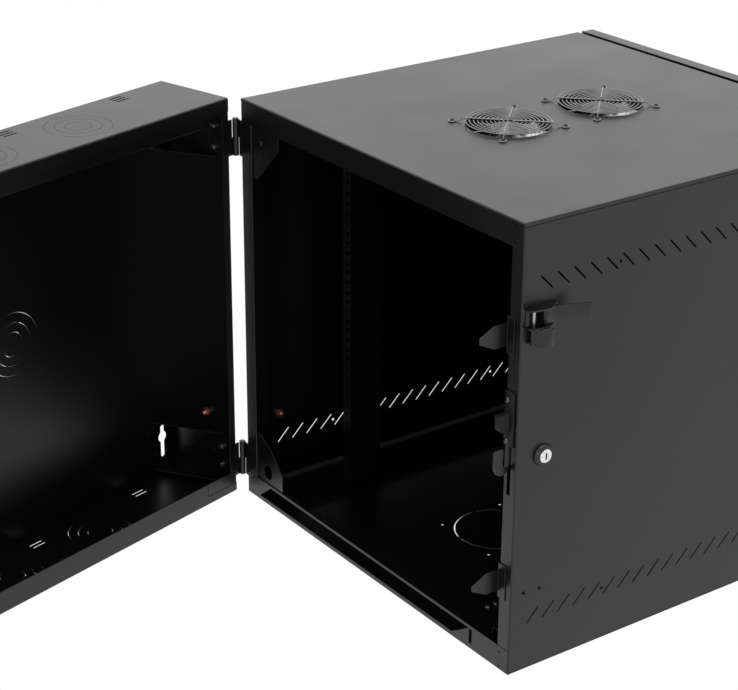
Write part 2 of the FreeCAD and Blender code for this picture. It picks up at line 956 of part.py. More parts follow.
# The long window in the rear fold of the bottom, with its slanted ends
def body_window():
    low = above("6.5")
    high = above("fold_depth - 4.5")
    corners = [
        (across("32"), low),
        (across("60"), high),
        (across("width - 80"), high),
        (across("width - 92"), above("20.4")),
        (across("width - 114"), low),
    ]
    return plate("bottom_window", "XZ_Plane", corners, inward("2 * sheet"), inward("-sheet"))


# A cut from the closed gap through the rear post only
def body_pocket_to_depth(body, sketch):
    bind(sketch, "AttachmentOffset.Base.z", f"-({inward('-1')})")
    made = body.newObject("PartDesign::Pocket", "Slit")
    made.Profile = sketch
    made.Type = 0
    made.Reversed = True
    bind(made, "Length", "sheet + 2")
    return made


# Rack rails on their depth runners
def rail(name, hand, face, leg):
    body = new_body(name)
    lip = "rack_opening / 2 + rail_face"
    t = "rail_sheet"
    reach = "rack_opening / 2"

    def x(text):
        return f"{hand} * ({text})"

    def y(text):
        return inward(f"{face} + {leg} * ({text})")

    section = sketch_on(body, "XY_Plane", name + "_section", above("rail_foot"))
    outline(
        section,
        [
            (x(lip), y("0")),
            (x(reach), y("0")),
            (x(reach), y("rail_leg")),
            (x(f"{reach} + {t}"), y("rail_leg")),
            (x(f"{reach} + {t}"), y(t)),
            (x(f"{lip} - {t}"), y(t)),
            (x(f"{lip} - {t}"), y("rail_face")),
            (x(lip), y("rail_face")),
        ],
    )
    pad(body, section, "height - 2 * rail_foot")
    doc.recompute()
    centre = x("rack_hole_span / 2")
    first = "height / 2 - rack_units * rack_unit / 2"
    levels = ("rack_hole_low", "rack_unit / 2", "rack_unit - rack_hole_low")

    # Square holes in every unit; the unit at mount_unit keeps a round one in its middle
    def unit_holes(label, unit, ups):
        holes = sketch_on(body, "XZ_Plane", f"{name}_{label}", f"-({y('0')})")
        for up in ups:
            middle = f"{first} + {unit} * rack_unit + {up}"
            corners = [
                (f"{centre} + {a} * rack_square / 2", above(f"{middle} + {b} * rack_square / 2"))
                for a, b in ((-1, -1), (1, -1), (1, 1), (-1, 1))
            ]
            outline(holes, corners)
        return holes, pocket_both(body, holes)

    holes, made = unit_holes("low_holes", "0", levels)
    repeat(body, made, holes, "V_Axis", S["mount_unit"], "rack_unit")
    unit_holes("mount_unit_squares", "mount_unit", (levels[0], levels[2]))
    bolt = sketch_on(body, "XZ_Plane", name + "_mount_hole", f"-({y('0')})")
    circle(bolt, (centre, above(f"{first} + mount_unit * rack_unit + rack_unit / 2")), "rack_hole / 2")
    pocket_both(body, bolt)
    holes, made = unit_holes("high_holes", "(mount_unit + 1)", levels)
    repeat(body, made, holes, "V_Axis", S["rack_units"] - S["mount_unit"] - 1, "rack_unit")
    node(name, body)


def pocket_both(body, sketch):
    made = body.newObject("PartDesign::Pocket", "Holes")
    made.Profile = sketch
    made.Type = 0
    made.Midplane = True
    bind(made, "Length", "5 * rail_sheet")
    return made


def build_rails():
    for end, face, leg in (("rear", "rail_rear", 1), ("front", "rail_front", -1)):
        for side, hand in (("hinge", 1), ("lock", -1)):
            rail(f"{end}_{side}_rail", hand, face, leg)
    web = "rack_opening / 2 + rail_face"
    t = "rail_sheet"
    ends = ("runner_end", "body_depth - runner_end")
    for end in ("lower", "upper"):
        runners = []
        for side, hand in (("hinge", 1), ("lock", -1)):
            w_web = f"width / 2 - {hand} * ({web})"
            w_back = f"width / 2 - {hand} * ({web} + {t})"
            w_far = f"width / 2 - {hand} * ({web} + runner_flange)"
            webs = (w_back, w_web) if hand > 0 else (w_web, w_back)
            flange = (w_far, w_web) if hand > 0 else (w_web, w_far)
            if end == "lower":
                up = ("sheet", "runner_height")
                shelf = (f"runner_height - {t}", "runner_height")
            else:
                up = ("height - runner_height", "height - sheet")
                shelf = ("height - runner_height", f"height - runner_height + {t}")
            runners.append(
                fuse(
                    f"{end}_runner_{side}",
                    [
                        body_block(f"{end}_web_{side}", webs, ends, up),
                        body_block(f"{end}_shelf_{side}", flange, ends, shelf),
                    ],
                )
            )
        node(f"{end}_depth_runners", runners)
    screws = []
    for end, face, leg in (("rear", "rail_rear", 1), ("front", "rail_front", -1)):
        for side, hand in (("hinge", 1), ("lock", -1)):
            for k, z in enumerate(("18", "height - 18")):
                inner = f"{hand} * ({web} - {t})"
                head = f"{hand} * ({web} - {t} - screw_head_high)"
                x = (head, inner) if hand > 0 else (inner, head)
                y = inward(f"{face} + {leg} * (rail_face - 5)")
                screws.append(rod(f"{end}_{side}_foot_screw_{k}", "3.5", x, y, above(z), 6))
    node("rail_screws", screws)


# Roof fans with their guards
def build_fans():
    top = "height - sheet"
    for k, name in enumerate(("rear", "front")):
        d = f"(fan_first + {k} * fan_pitch)"
        half = "fan_size / 2"
        low = f"{top} - fan_depth"
        frame = body_block(
            f"{name}_fan_block",
            (f"width / 2 - {half}", f"width / 2 + {half}"),
            (f"{d} - {half}", f"{d} + {half}"),
            (low, top),
        )
        bore = body_rod(f"{name}_fan_bore", "fan_bore / 2 + 0.3", "width / 2", d, (f"{low} - 1", "height"), 32)
        shell = cut(f"{name}_fan_shell", frame, [bore])
        motor = body_rod(f"{name}_fan_motor", "hub_bore / 2", "width / 2", d, (low, f"{low} + 4"), 16)
        arms = []
        for i in range(4):
            a, b = ((1, 0), (-1, 0), (0, 1), (0, -1))[i]
            reach = "(fan_bore / 2 + 1)"
            ws = ("width / 2 - strut_width / 2", "width / 2 + strut_width / 2")
            ds = (f"{d} - strut_width / 2", f"{d} + strut_width / 2")
            if a:
                ws = (f"width / 2 + {min(a, 0)} * {reach}", f"width / 2 + {max(a, 0)} * {reach}")
            else:
                ds = (f"{d} + {min(b, 0)} * {reach}", f"{d} + {max(b, 0)} * {reach}")
            arms.append(body_block(f"{name}_strut_{i}", ws, ds, (low, f"{low} + 4")))
        node(f"{name}_fan_frame", fuse(f"{name}_fan_frame", [shell, motor] + arms))
        fan_rotor(name, d, low, top)
        fan_guard(name, d)
    screws = []
    for k in range(2):
        for i, a in enumerate((-1, 1)):
            for j, b in enumerate((-1, 1)):
                screws.append(
                    body_rod(
                        f"guard_screw_{k}{i}{j}",
                        "4",
                        f"width / 2 + {a} * fan_holes / 2",
                        f"fan_first + {k} * fan_pitch + {b} * fan_holes / 2",
                        ("height + guard_wire", "height + guard_wire + 2.4"),
                        6,
                    )
                )
    node("guard_screws", screws)


# A pitched blade is a slanted bar trimmed by the hub and by the sweep inside the bore
def fan_rotor(name, d, low, top):
    hub_low = f"{low} + 4.4"
    hub = body_rod(f"{name}_rotor_hub", "hub_bore / 2", "width / 2", d, (hub_low, f"{top} - 2"), 16)
    sweep = cut(
        f"{name}_sweep",
        body_rod(f"{name}_sweep_out", "fan_bore / 2 - blade_gap", "width / 2", d, (hub_low, f"{top} - 2"), 24),
        [body_rod(f"{name}_sweep_in", "hub_bore / 2 - 2", "width / 2", d, (f"{low} - 1", "height"), 12)],
    )
    blades = []
    for k in range(S["blade_count"]):
        bar = doc.addObject("Part::Box", f"{name}_blade_{k}")
        bind(bar, "Length", "fan_bore")
        bind(bar, "Width", "blade_chord")
        bar.Height = 1.6
        turn = 360 / S["blade_count"] * k
        spin = FreeCAD.Rotation(FreeCAD.Vector(0, 0, 1), turn)
        tilt = FreeCAD.Rotation(FreeCAD.Vector(1, 0, 0), S["blade_pitch"])
        back = FreeCAD.Vector(0, -S["blade_chord"] / 2, -0.8)
        bar.Placement = FreeCAD.Placement(FreeCAD.Vector(), spin) * FreeCAD.Placement(
            FreeCAD.Vector(), tilt
        )
        shift = spin.multVec(tilt.multVec(back))
        bind(bar, "Placement.Base.x", f"{across('width / 2')} + {round(shift.x, 4)}")
        bind(bar, "Placement.Base.y", f"{inward(d)} + {round(shift.y, 4)}")
        bind(bar, "Placement.Base.z", f"{above(f'({low} + {top}) / 2')} + {round(shift.z, 4)}")
        blades.append(bar)
    trimmed = doc.addObject("Part::Common", f"{name}_blades")
    trimmed.Base = fuse(f"{name}_blade_bars", blades)
    trimmed.Tool = sweep
    node(f"{name}_fan_rotor", fuse(f"{name}_fan_rotor", [hub, trimmed]))


def ring(name, radius, d, z, sides):
    wire = "guard_wire / 2"
    outer = body_rod(f"{name}_out", f"{radius} + {wire}", "width / 2", d, z, sides)
    inner = body_rod(f"{name}_in", f"{radius} - {wire}", "width / 2", d, (f"{z[0]} - 1", f"{z[1]} + 1"), sides)
    return cut(name, outer, [inner])


def fan_guard(name, d):
    level = "height + guard_lift"
    z = (level, f"{level} + guard_wire")
    rings = []
    for k in range(S["guard_rings"]):
        radius = f"(guard_outer / 2 * {k + 1} / guard_rings)"
        rings.append(ring(f"{name}_ring_{k}", radius, d, z, 10 + 2 * k))
    pieces = []
    for i in range(2):
        bar = doc.addObject("Part::Box", f"{name}_cross_{i}")
        bind(bar, "Length", "(fan_holes - 2 * guard_foot) * sqrt(2)")
        bind(bar, "Width", "guard_wire")
        bind(bar, "Height", "guard_wire")
        spin = FreeCAD.Rotation(FreeCAD.Vector(0, 0, 1), 45 + 90 * i)
        bar.Placement = FreeCAD.Placement(FreeCAD.Vector(), spin)
        c, s = round(math.cos(math.radians(45 + 90 * i)), 6), round(math.sin(math.radians(45 + 90 * i)), 6)
        half = "(fan_holes / 2 - guard_foot) * sqrt(2)"
        bind(bar, "Placement.Base.x", f"{across('width / 2')} - ({half}) * ({c}) + guard_wire / 2 * ({s})")
        bind(bar, "Placement.Base.y", f"{inward(d)} - ({half}) * ({s}) - guard_wire / 2 * ({c})")
        bind(bar, "Placement.Base.z", above(f"{level} - guard_wire"))
        pieces.append(bar)
    for i, a in enumerate((-1, 1)):
        for j, b in enumerate((-1, 1)):
            w = f"width / 2 + {a} * fan_holes / 2"
            at = f"{d} + {b} * fan_holes / 2"
            spans = []
            for middle, sign in ((w, a), (at, b)):
                ends = (f"{middle} - {sign} * (guard_foot + 1)", f"{middle} + {sign} * (guard_foot - 1)")
                spans.append(ends if sign > 0 else ends[::-1])
            pieces.append(
                body_block(f"{name}_foot_{i}{j}", spans[0], spans[1], ("height", "height + guard_wire"))
            )
            leg_w = f"width / 2 + {a} * (fan_holes / 2 - guard_foot)"
            leg_d = f"{d} + {b} * (fan_holes / 2 - guard_foot)"
            leg_z = ("height", f"{level} - guard_wire / 2")
            pieces.append(body_rod(f"{name}_leg_{i}{j}", "1.2", leg_w, leg_d, leg_z, 4))
    node(f"{name}_fan_guard", rings + [fuse(f"{name}_guard_cross", pieces)])


# Guides and latches at the free end of the rack body
def build_rear_post():
    tongues = []
    t = "sheet"
    for name, middle in (("low", "tongue_low"), ("high", "tongue_high")):
        half = "tongue_width / 2"
        corners = [
            (inward("0"), above(f"{middle} - {half}")),
            (inward("-tongue_straight"), above(f"{middle} - {half}")),
            (inward("-tongue_reach"), above(f"{middle} - {half} / 4")),
            (inward("-tongue_reach"), above(f"{middle} + {half} / 4")),
            (inward("-tongue_straight"), above(f"{middle} + {half}")),
            (inward("0"), above(f"{middle} + {half}")),
        ]
        blade = plate(
            f"tongue_blade_{name}",
            "YZ_Plane",
            corners,
            across("tongue_w + sheet / 2"),
            across("tongue_w - sheet / 2"),
        )
        flange = body_block(
            f"tongue_flange_{name}",
            ("tongue_w - sheet / 2", "tongue_w + 13"),
            (f"-{t}", "0"),
            (f"{middle} - tongue_flange / 2", f"{middle} + tongue_flange / 2"),
        )
        tongues.append(fuse(f"tongue_{name}", [blade, flange]))
    node("guide_tongues", tongues)

    middle = "latch_plate_middle"
    w0 = "width - post_width"
    mount = body_block(
        "latch_plate",
        (w0, f"{w0} + latch_plate_width"),
        ("-latch_plate_thick", "0"),
        (f"{middle} - latch_plate_height / 2", f"{middle} + latch_plate_height / 2"),
    )
    low = f"{middle} - block_height + 7"
    high = f"{middle} + 7"
    nose = plate(
        "latch_nose",
        "YZ_Plane",
        [
            (inward("-latch_plate_thick / 2"), above(low)),
            (inward("-block_reach * 0.6"), above(f"{low} + 7")),
            (inward("-block_reach * 0.92"), above(f"{low} + 12")),
            (inward("-block_reach"), above(high)),
            (inward("-latch_plate_thick / 2"), above(high)),
        ],
        across(f"{w0} + 9.5"),
        across(w0),
    )
    node("locating_block", fuse("locating_block", [mount, nose]))
    screws = []
    for k, z in enumerate((f"{middle} - 29", f"{middle} + 25")):
        screws.append(
            body_rod(
                f"latch_screw_{k}",
                "3.2",
                f"{w0} + 5.5",
                ("-latch_plate_thick - 1.6", "-latch_plate_thick"),
                z,
                6,
            )
        )
    node("latch_screws", screws)


# Key lock on the lock side: the cam's crank pin draws the hook plate down
def build_side_lock():
    face = "width"
    d = "lock_back"
    z = "lock_height"
    flange = body_rod("lock_flange_disc", "lock_flange / 2", (face, f"{face} + lock_flange_thick"), d, z, 20)
    barrel = body_rod("lock_barrel_rod", "lock_barrel / 2", (f"{face} - lock_barrel_depth", face), d, z, 16)
    wide = body_rod(
        "lock_face_bore",
        "lock_face / 2 + running_gap",
        (f"{face} - 0.3", f"{face} + lock_flange_thick + 1"),
        d,
        z,
        24,
    )
    narrow = body_rod(
        "lock_core_bore",
        "lock_core / 2 + running_gap",
        (f"{face} - lock_barrel_depth - 1", f"{face} + 1"),
        d,
        z,
        24,
    )
    housing = fuse("lock_housing_whole", [flange, barrel])
    node("side_lock_housing", cut("side_lock_housing", housing, [wide, narrow]))
    nut_in = f"{face} - sheet"
    nut = body_rod("lock_nut_hex", "lock_barrel * 0.7", (f"{nut_in} - lock_nut_thick", nut_in), d, z, 6)
    hole = body_rod("lock_nut_bore", "lock_barrel / 2 + running_gap", (f"{face} - 20", face), d, z, 16)
    node("side_lock_nut", cut("side_lock_nut", nut, [hole]))

    back = f"{face} - lock_barrel_depth - 0.5"
    plug = fuse(
        "lock_plug_whole",
        [
            body_rod("plug_face", "lock_face / 2", (face, f"{face} + lock_flange_thick + 0.6"), d, z, 24),
            body_rod("plug_core", "lock_core / 2", (back, f"{face} + 1"), d, z, 24),
        ],
    )
    key = body_block(
        "plug_key_way",
        (f"{face} + lock_flange_thick - 2", f"{face} + lock_flange_thick + 1"),
        (f"{d} - 1", f"{d} + 1"),
        (f"{z} - 5", f"{z} + 5"),
    )
    node("side_lock_plug", cut("side_lock_plug", plug, [key]))
    swing_radius = "(hook_travel / sqrt(2))"
    pin_d = f"({d} - hook_travel / 2)"
    pin_z = f"({z} + hook_travel / 2)"
    arm_w = (f"{back} - cam_sheet", back)
    r = "(lock_core / 2 + 2)"
    s = 0.7071
    arm = plate(
        "cam_arm",
        "YZ_Plane",
        [
            (inward(f"{d} + {s} * {r} - 2"), above(f"{z} - {s} * {r} - 2")),
            (inward(f"{d} + {s} * {r}"), above(f"{z} + {s} * {r} - 1")),
            (inward(f"{pin_d} + 3.4"), above(f"{pin_z} + 3.4")),
            (inward(f"{pin_d} - 1"), above(f"{pin_z} + 3.4")),
            (inward(f"{pin_d} - 3.4"), above(f"{pin_z} + 1")),
            (inward(f"{pin_d} - 3.4"), above(f"{pin_z} - 3.4")),
            (inward(f"{d} - {s} * {r} + 1"), above(f"{z} - {s} * {r}")),
        ],
        across(arm_w[1]),
        across(arm_w[0]),
    )
    crank = body_rod(
        "cam_crank_pin",
        "crank_pin / 2",
        ("hook_w - hook_sheet / 2 - 1", back),
        pin_d,
        pin_z,
    )
    node("side_lock_cam", fuse("side_lock_cam", [arm, crank]))

    # Hook plate: the hook outside the post, the slotted slide inside
    bottom = "hook_bottom"
    tip_in = "hook_mouth + 1"
    slide_low = "(guide_stud_height - 8)"
    slide_high = "(hook_top + 4)"
    hook = plate(
        "hook_outline_sheet",
        "YZ_Plane",
        [
            (inward("-(hook_reach)"), above("hook_top - 3")),
            (inward("-(hook_reach - 3)"), above("hook_top")),
            (inward(f"-({tip_in} + 2)"), above("hook_top")),
            (inward(f"-({tip_in})"), above("hook_top - 2")),
            (inward(f"-({tip_in})"), above(f"{bottom} + 13")),
            (inward("-(hook_mouth * 0.75)"), above(f"{bottom} + 9.5")),
            (inward("-(hook_mouth * 0.35)"), above(f"{bottom} + 9.5")),
            (inward("-1"), above(f"{bottom} + 13")),
            (inward("-1"), above("hook_top")),
            (inward("8"), above("hook_top")),
            (inward("8"), above(slide_high)),
            (inward("hook_inner"), above(slide_high)),
            (inward("hook_inner"), above(slide_low)),
            (inward("8"), above(slide_low)),
            (inward("8"), above(f"{bottom} + 5")),
            (inward("-1"), above(f"{bottom} + 5")),
            (inward("-(hook_mouth)"), above(bottom)),
            (inward("-(hook_reach * 0.6)"), above(f"{bottom} + 0.5")),
            (inward("-(hook_reach * 0.88)"), above(f"{bottom} + 5")),
            (inward("-(hook_reach)"), above(f"{bottom} + 13")),
        ],
        across("hook_w + hook_sheet / 2"),
        across("hook_w - hook_sheet / 2"),
    )
    play = "crank_play"
    half_pin = "crank_pin / 2"
    ws = ("hook_w - 5", "hook_w + 5")
    slots = [
        body_block(
            "crank_slot",
            ws,
            (f"{d} - {swing_radius} - {half_pin} - {play}", f"{pin_d} + {half_pin} + {play}"),
            (f"{pin_z} - {half_pin} - {play}", f"{pin_z} + {half_pin} + {play}"),
        )
    ]
    studs = []
    for k, at in enumerate(("14", "40")):
        slots.append(
            body_block(
                f"guide_slot_{k}",
                ws,
                (f"{at} - guide_stud / 2 - running_gap", f"{at} + guide_stud / 2 + running_gap"),
                (
                    "guide_stud_height - guide_stud / 2 - running_gap",
                    "guide_stud_height + guide_stud / 2 + running_gap + hook_travel",
                ),
            )
        )
        shank = body_rod(
            f"stud_shank_{k}",
            "guide_stud / 2",
            ("hook_w - hook_sheet / 2 - running_gap", f"{face} - sheet"),
            at,
            "guide_stud_height",
            8,
        )
        head_w = "hook_w - hook_sheet / 2 - running_gap"
        head_ends = (f"{head_w} - 1.6", head_w)
        head = body_rod(f"stud_head_{k}", "guide_stud", head_ends, at, "guide_stud_height", 10)
        studs.append(fuse(f"guide_stud_{k}", [shank, head]))
    node("hook_plate", cut("hook_slide", hook, slots))
    node("hook_guide_studs", studs)


# Draw latch: two ears carry the pins of the lever and of the claw
def build_draw_latch():
    def out(w):
        return f"(-width / 2 - ({w}))"

    ears = []
    corners = [
        (out("0"), inward("5.6")),
        (out("9"), inward("5.3")),
        (out("12"), inward("8")),
        (out("16"), inward("30.7")),
        (out("5.5"), inward("49.4")),
        (out("0"), inward("49.4")),
    ]
    for name, low in (("low", above("ear_low")), ("high", above("ear_high"))):
        ears.append(plate(f"ear_{name}", "XY_Plane", corners, low, f"{low} + ear_sheet"))
    foot = block(
        "ear_foot",
        (out("ear_sheet / 2"), out("0")),
        (inward("49.4"), inward("5.6")),
        (above("ear_low"), above("ear_high + ear_sheet")),
    )
    node("draw_latch_base", fuse("ears_whole", ears + [foot]))
    between = (above("ear_low + ear_sheet"), above("ear_high"))
    below = (above("ear_low - claw_height"), above("ear_low"))
    pins = [
        rod("lever_pin", "latch_pin / 2", out("lever_pin_out"), inward("lever_pin_d"), between, 12),
        rod("claw_pin_top", "latch_pin / 2", out("claw_pin_out"), inward("claw_pin_d"), between, 10),
        rod("claw_pin_foot", "latch_pin / 2", out("claw_pin_out"), inward("claw_pin_d"), below, 12),
    ]
    node("draw_latch_pins", pins)

    gap = "running_gap"
    lever_z = (above(f"ear_low + ear_sheet + {gap}"), above(f"ear_high - {gap}"))
    hub = rod("lever_hub", "latch_pin / 2 + 2", out("lever_pin_out"), inward("lever_pin_d"), lever_z, 12)
    run = math.cos(math.radians(S["lever_angle"]))
    rise = math.sin(math.radians(S["lever_angle"]))

    def along(distance, side):
        d = f"lever_pin_d + ({distance}) * {round(run, 5)} - ({side}) * {round(rise, 5)}"
        w = f"lever_pin_out + ({distance}) * {round(rise, 5)} + ({side}) * {round(run, 5)}"
        return (out(w), inward(d))

    tab = plate(
        "lever_tab",
        "XY_Plane",
        [
            along("1", "-1"),
            along("18", "-5"),
            along("lever_reach", "-1"),
            along("lever_reach", "1"),
            along("18", "-2.6"),
            along("1", "2.4"),
        ],
        lever_z[0],
        lever_z[1],
    )
    lever_bore = rod(
        "lever_bore",
        "latch_pin / 2 + pin_fit",
        out("lever_pin_out"),
        inward("lever_pin_d"),
        (above("ear_low"), above("ear_high + 4")),
    )
    node("draw_latch_lever", cut("draw_latch_lever", fuse("lever_whole", [hub, tab]), [lever_bore]))

    claw_z = (above("ear_low - claw_height"), above(f"ear_low - {gap}"))
    claw_hub = rod("claw_hub", "latch_pin / 2 + 1.6", out("claw_pin_out"), inward("claw_pin_d"), claw_z, 12)

    def polar(radius, angle):
        d = f"claw_pin_d + {round(radius * math.cos(math.radians(angle)), 4)}"
        w = f"claw_pin_out + {round(radius * math.sin(math.radians(angle)), 4)}"
        return (out(w), inward(d))

    outside = [polar(r, a) for r, a in ((3.2, 110), (8.4, 92), (14.5, 68), (20, 50), (24.6, 37), (23.4, 30))]
    inside = [polar(r, a) for r, a in ((22.6, 36), (18.4, 49), (12.9, 66), (6.9, 88), (2.6, 60))]
    claw = plate("claw_sheet", "XY_Plane", outside + inside, claw_z[0], claw_z[1])
    claw_bore = rod(
        "claw_bore",
        "latch_pin / 2 + pin_fit",
        out("claw_pin_out"),
        inward("claw_pin_d"),
        (above("ear_low - claw_height - 1"), above("ear_low")),
    )
    node("draw_latch_claw", cut("draw_latch_claw", fuse("claw_whole", [claw_hub, claw]), [claw_bore]))


# Front door: a folded frame round a pane, on two pins at the hinge side
def build_door():
    rear = "(body_depth + door_gap)"
    front = f"({rear} + door_thick)"
    edge = "door_edge"
    shell = body_block("door_shell", (edge, f"width - {edge}"), (rear, front), (edge, f"height - {edge}"))
    inner = f"({edge} + sheet)"
    hollow = body_block(
        "door_hollow",
        (inner, f"width - {inner}"),
        (f"{rear} - 1", f"{front} - sheet"),
        (inner, f"height - {inner}"),
    )
    border = f"({edge} + door_border)"
    view = body_block(
        "door_view",
        (border, f"width - {border}"),
        (rear, f"{front} + 1"),
        (border, f"height - {border}"),
    )
    axis_w = f"({edge} + door_axis)"
    axis_d = f"({rear} + door_axis)"

    # Hinge arms reach into the hollow of the door; the lugs of the door turn on their pins
    ends = []
    for name in ("low", "high"):
        levels = ["door_edge + sheet + door_arm_play"]
        for rise in ("door_arm_sheet", "running_gap", "door_lug"):
            levels.append(f"{levels[-1]} + {rise}")
        if name == "high":
            levels = [f"height - ({level})" for level in levels]
        ends.append((name, levels))

    def span(name, first, second):
        return (first, second) if name == "low" else (second, first)

    lugs = [shell]
    notches = []
    for name, levels in ends:
        lugs.append(
            body_block(
                f"door_lug_{name}",
                (f"{edge} + sheet / 2", f"{axis_w} + door_pin / 2 + door_lug"),
                (f"{axis_d} - door_pin / 2 - 2", f"{front} - sheet / 2"),
                span(name, levels[2], levels[3]),
            )
        )
        skin = f"{edge} + sheet" if name == "low" else f"height - {edge} - sheet"
        notches.append(
            body_block(
                f"door_notch_{name}",
                ("-1", f"{inner} + 0.2"),
                (f"{rear} - 1", f"{axis_d} + 8.5"),
                span(name, skin, levels[2]),
            )
        )
    pin_holes = [
        body_rod("door_pin_hole", "door_pin / 2 + pin_fit", axis_w, axis_d, (inner, f"height - {inner}")),
        body_rod(
            "door_lock_hole",
            "lock_barrel / 2 + 0.2",
            "door_lock_w",
            (rear, f"{front} + 1"),
            "height / 2",
            16,
        ),
    ]
    folded = cut("door_folded", shell, [hollow, view])
    lugs[0] = folded
    whole = fuse("door_with_lugs", lugs)
    node("door_frame", cut("door_frame", whole, notches + pin_holes))
    pane_edge = f"({border} - 12)"
    pane_front = f"({front} - sheet)"
    node(
        "door_pane",
        [
            body_block(
                "door_pane_sheet",
                (pane_edge, f"width - {pane_edge}"),
                (f"{pane_front} - glass", pane_front),
                (pane_edge, f"height - {pane_edge}"),
            )
        ],
    )
    keeper_out = body_block(
        "pane_frame_out",
        (f"{pane_edge} - 3", f"width - {pane_edge} + 3"),
        (f"{pane_front} - glass - sheet", f"{pane_front} - glass"),
        (f"{pane_edge} - 3", f"height - {pane_edge} + 3"),
    )
    keeper_in = body_block(
        "pane_frame_in",
        (border, f"width - {border}"),
        (rear, front),
        (border, f"height - {border}"),
    )
    node("pane_retainer", cut("pane_retainer", keeper_out, [keeper_in]))

    brackets = []
    pins = []
    for name, levels in ends:
        arm_w = (f"{axis_w} - door_pin / 2 - 1.5", f"{axis_w} + door_pin / 2 + 3")
        foot = levels[1] + (" + door_arm_foot" if name == "low" else " - door_arm_foot")
        brackets.append(
            fuse(
                f"door_bracket_{name}",
                [
                    body_block(
                        f"door_arm_{name}",
                        arm_w,
                        ("body_depth", f"{axis_d} + door_pin / 2 + 2"),
                        span(name, levels[0], levels[1]),
                    ),
                    body_block(
                        f"door_arm_foot_{name}",
                        arm_w,
                        ("body_depth", "body_depth + sheet"),
                        span(name, levels[0], foot),
                    ),
                ],
            )
        )
        tip = levels[3] + (" + 1" if name == "low" else " - 1")
        pins.append(body_rod(f"door_pin_{name}", "door_pin / 2", axis_w, axis_d, span(name, levels[1], tip)))
    node("door_hinge_brackets", brackets)
    node("door_hinge_pins", pins)

    w = "door_lock_w"
    z = "height / 2"
    inner_face = f"({front} - sheet)"
    tail = "(body_depth - sheet - 0.5 - cam_sheet)"
    lock_flange = body_rod("door_lock_flange", "lock_flange / 2", w, (front, f"{front} + 3"), z, 24)
    barrel_ends = (f"{tail} + cam_sheet + 0.5", front)
    through = (f"{tail} - 5", f"{front} + 4")
    lock_barrel = body_rod("door_lock_barrel", "lock_barrel / 2", w, barrel_ends, z, 16)
    lock_bore = body_rod("door_lock_bore", "lock_core / 2 + running_gap", w, through, z, 24)
    housing = fuse("door_lock_whole", [lock_flange, lock_barrel])
    node("door_lock_housing", cut("door_lock_housing", housing, [lock_bore]))
    nut = body_rod("door_nut_hex", "lock_barrel * 0.7", w, (f"{inner_face} - lock_nut_thick", inner_face), z, 6)
    nut_bore = body_rod("door_nut_bore", "lock_barrel / 2 + running_gap", w, through, z, 16)
    node("door_lock_nut", cut("door_lock_nut", nut, [nut_bore]))
    core = body_rod("door_plug_core", "lock_core / 2", w, (f"{tail} + cam_sheet", f"{front} + 3.4"), z)
    key = body_block(
        "door_key_way",
        (f"{w} - 1", f"{w} + 1"),
        (f"{front} + 1.4", f"{front} + 5"),
        (f"{z} - 4.5", f"{z} + 4.5"),
    )
    node("door_lock_plug", cut("door_lock_plug", core, [key]))
    cam = body_block(
        "door_cam_bar",
        (f"{w} - 8", f"{w} + 8"),
        (tail, f"{tail} + cam_sheet"),
        (f"{z} - 8", f"{z} + 27"),
    )
    node("door_lock_cam", [cam])


def build():
    build_wall_box()
    build_hinges()
    build_body_shell()
    build_rails()
    build_fans()
    build_rear_post()
    build_side_lock()
    build_draw_latch()
    build_door()
    earth_stud("body_earth_stud", "width / 2 - sheet", inward("stud_back"), above("stud_height"), swings=True)


build()
doc.recompute()

# Nothing is written unless every step of the model worked
for thing in doc.Objects:
    if any(word in thing.State for word in ("Invalid", "Error")):
        raise RuntimeError(f"{thing.Name} failed: {thing.State}")
labels = [made.Label for made in NODES]
if len(set(labels)) != len(labels):
    raise RuntimeError("two pieces share a name")
for made in NODES:
    if made.Shape.isNull() or not made.Shape.isValid() or not made.Shape.Solids:
        raise RuntimeError(f"{made.Label} has no valid solid")
for made in NODES:
    made.Shape.exportStep(f"parts/{made.Label}.step")
print(len(NODES), "pieces written")
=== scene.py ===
import json
import math

import bmesh
import bpy
from mathutils import Matrix, Vector
from mathutils.bvhtree import BVHTree

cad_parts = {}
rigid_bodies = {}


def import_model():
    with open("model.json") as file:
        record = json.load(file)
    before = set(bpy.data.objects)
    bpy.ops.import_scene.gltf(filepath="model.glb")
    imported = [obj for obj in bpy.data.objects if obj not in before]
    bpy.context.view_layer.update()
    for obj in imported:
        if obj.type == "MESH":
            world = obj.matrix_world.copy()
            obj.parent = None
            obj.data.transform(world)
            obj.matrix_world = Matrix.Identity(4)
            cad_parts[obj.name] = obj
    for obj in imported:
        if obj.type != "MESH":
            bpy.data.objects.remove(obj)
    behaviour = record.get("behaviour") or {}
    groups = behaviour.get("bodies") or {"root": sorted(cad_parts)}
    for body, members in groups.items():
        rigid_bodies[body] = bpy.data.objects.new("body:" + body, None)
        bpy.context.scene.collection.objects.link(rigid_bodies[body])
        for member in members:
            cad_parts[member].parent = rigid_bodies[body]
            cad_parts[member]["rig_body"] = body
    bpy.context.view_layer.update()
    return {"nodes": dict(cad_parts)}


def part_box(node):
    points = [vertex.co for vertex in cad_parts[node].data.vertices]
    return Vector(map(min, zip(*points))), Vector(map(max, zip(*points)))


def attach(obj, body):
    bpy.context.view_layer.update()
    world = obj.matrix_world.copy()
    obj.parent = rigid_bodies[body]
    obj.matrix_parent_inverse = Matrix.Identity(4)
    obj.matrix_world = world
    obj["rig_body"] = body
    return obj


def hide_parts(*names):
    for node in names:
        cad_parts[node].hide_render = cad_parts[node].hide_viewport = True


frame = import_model()

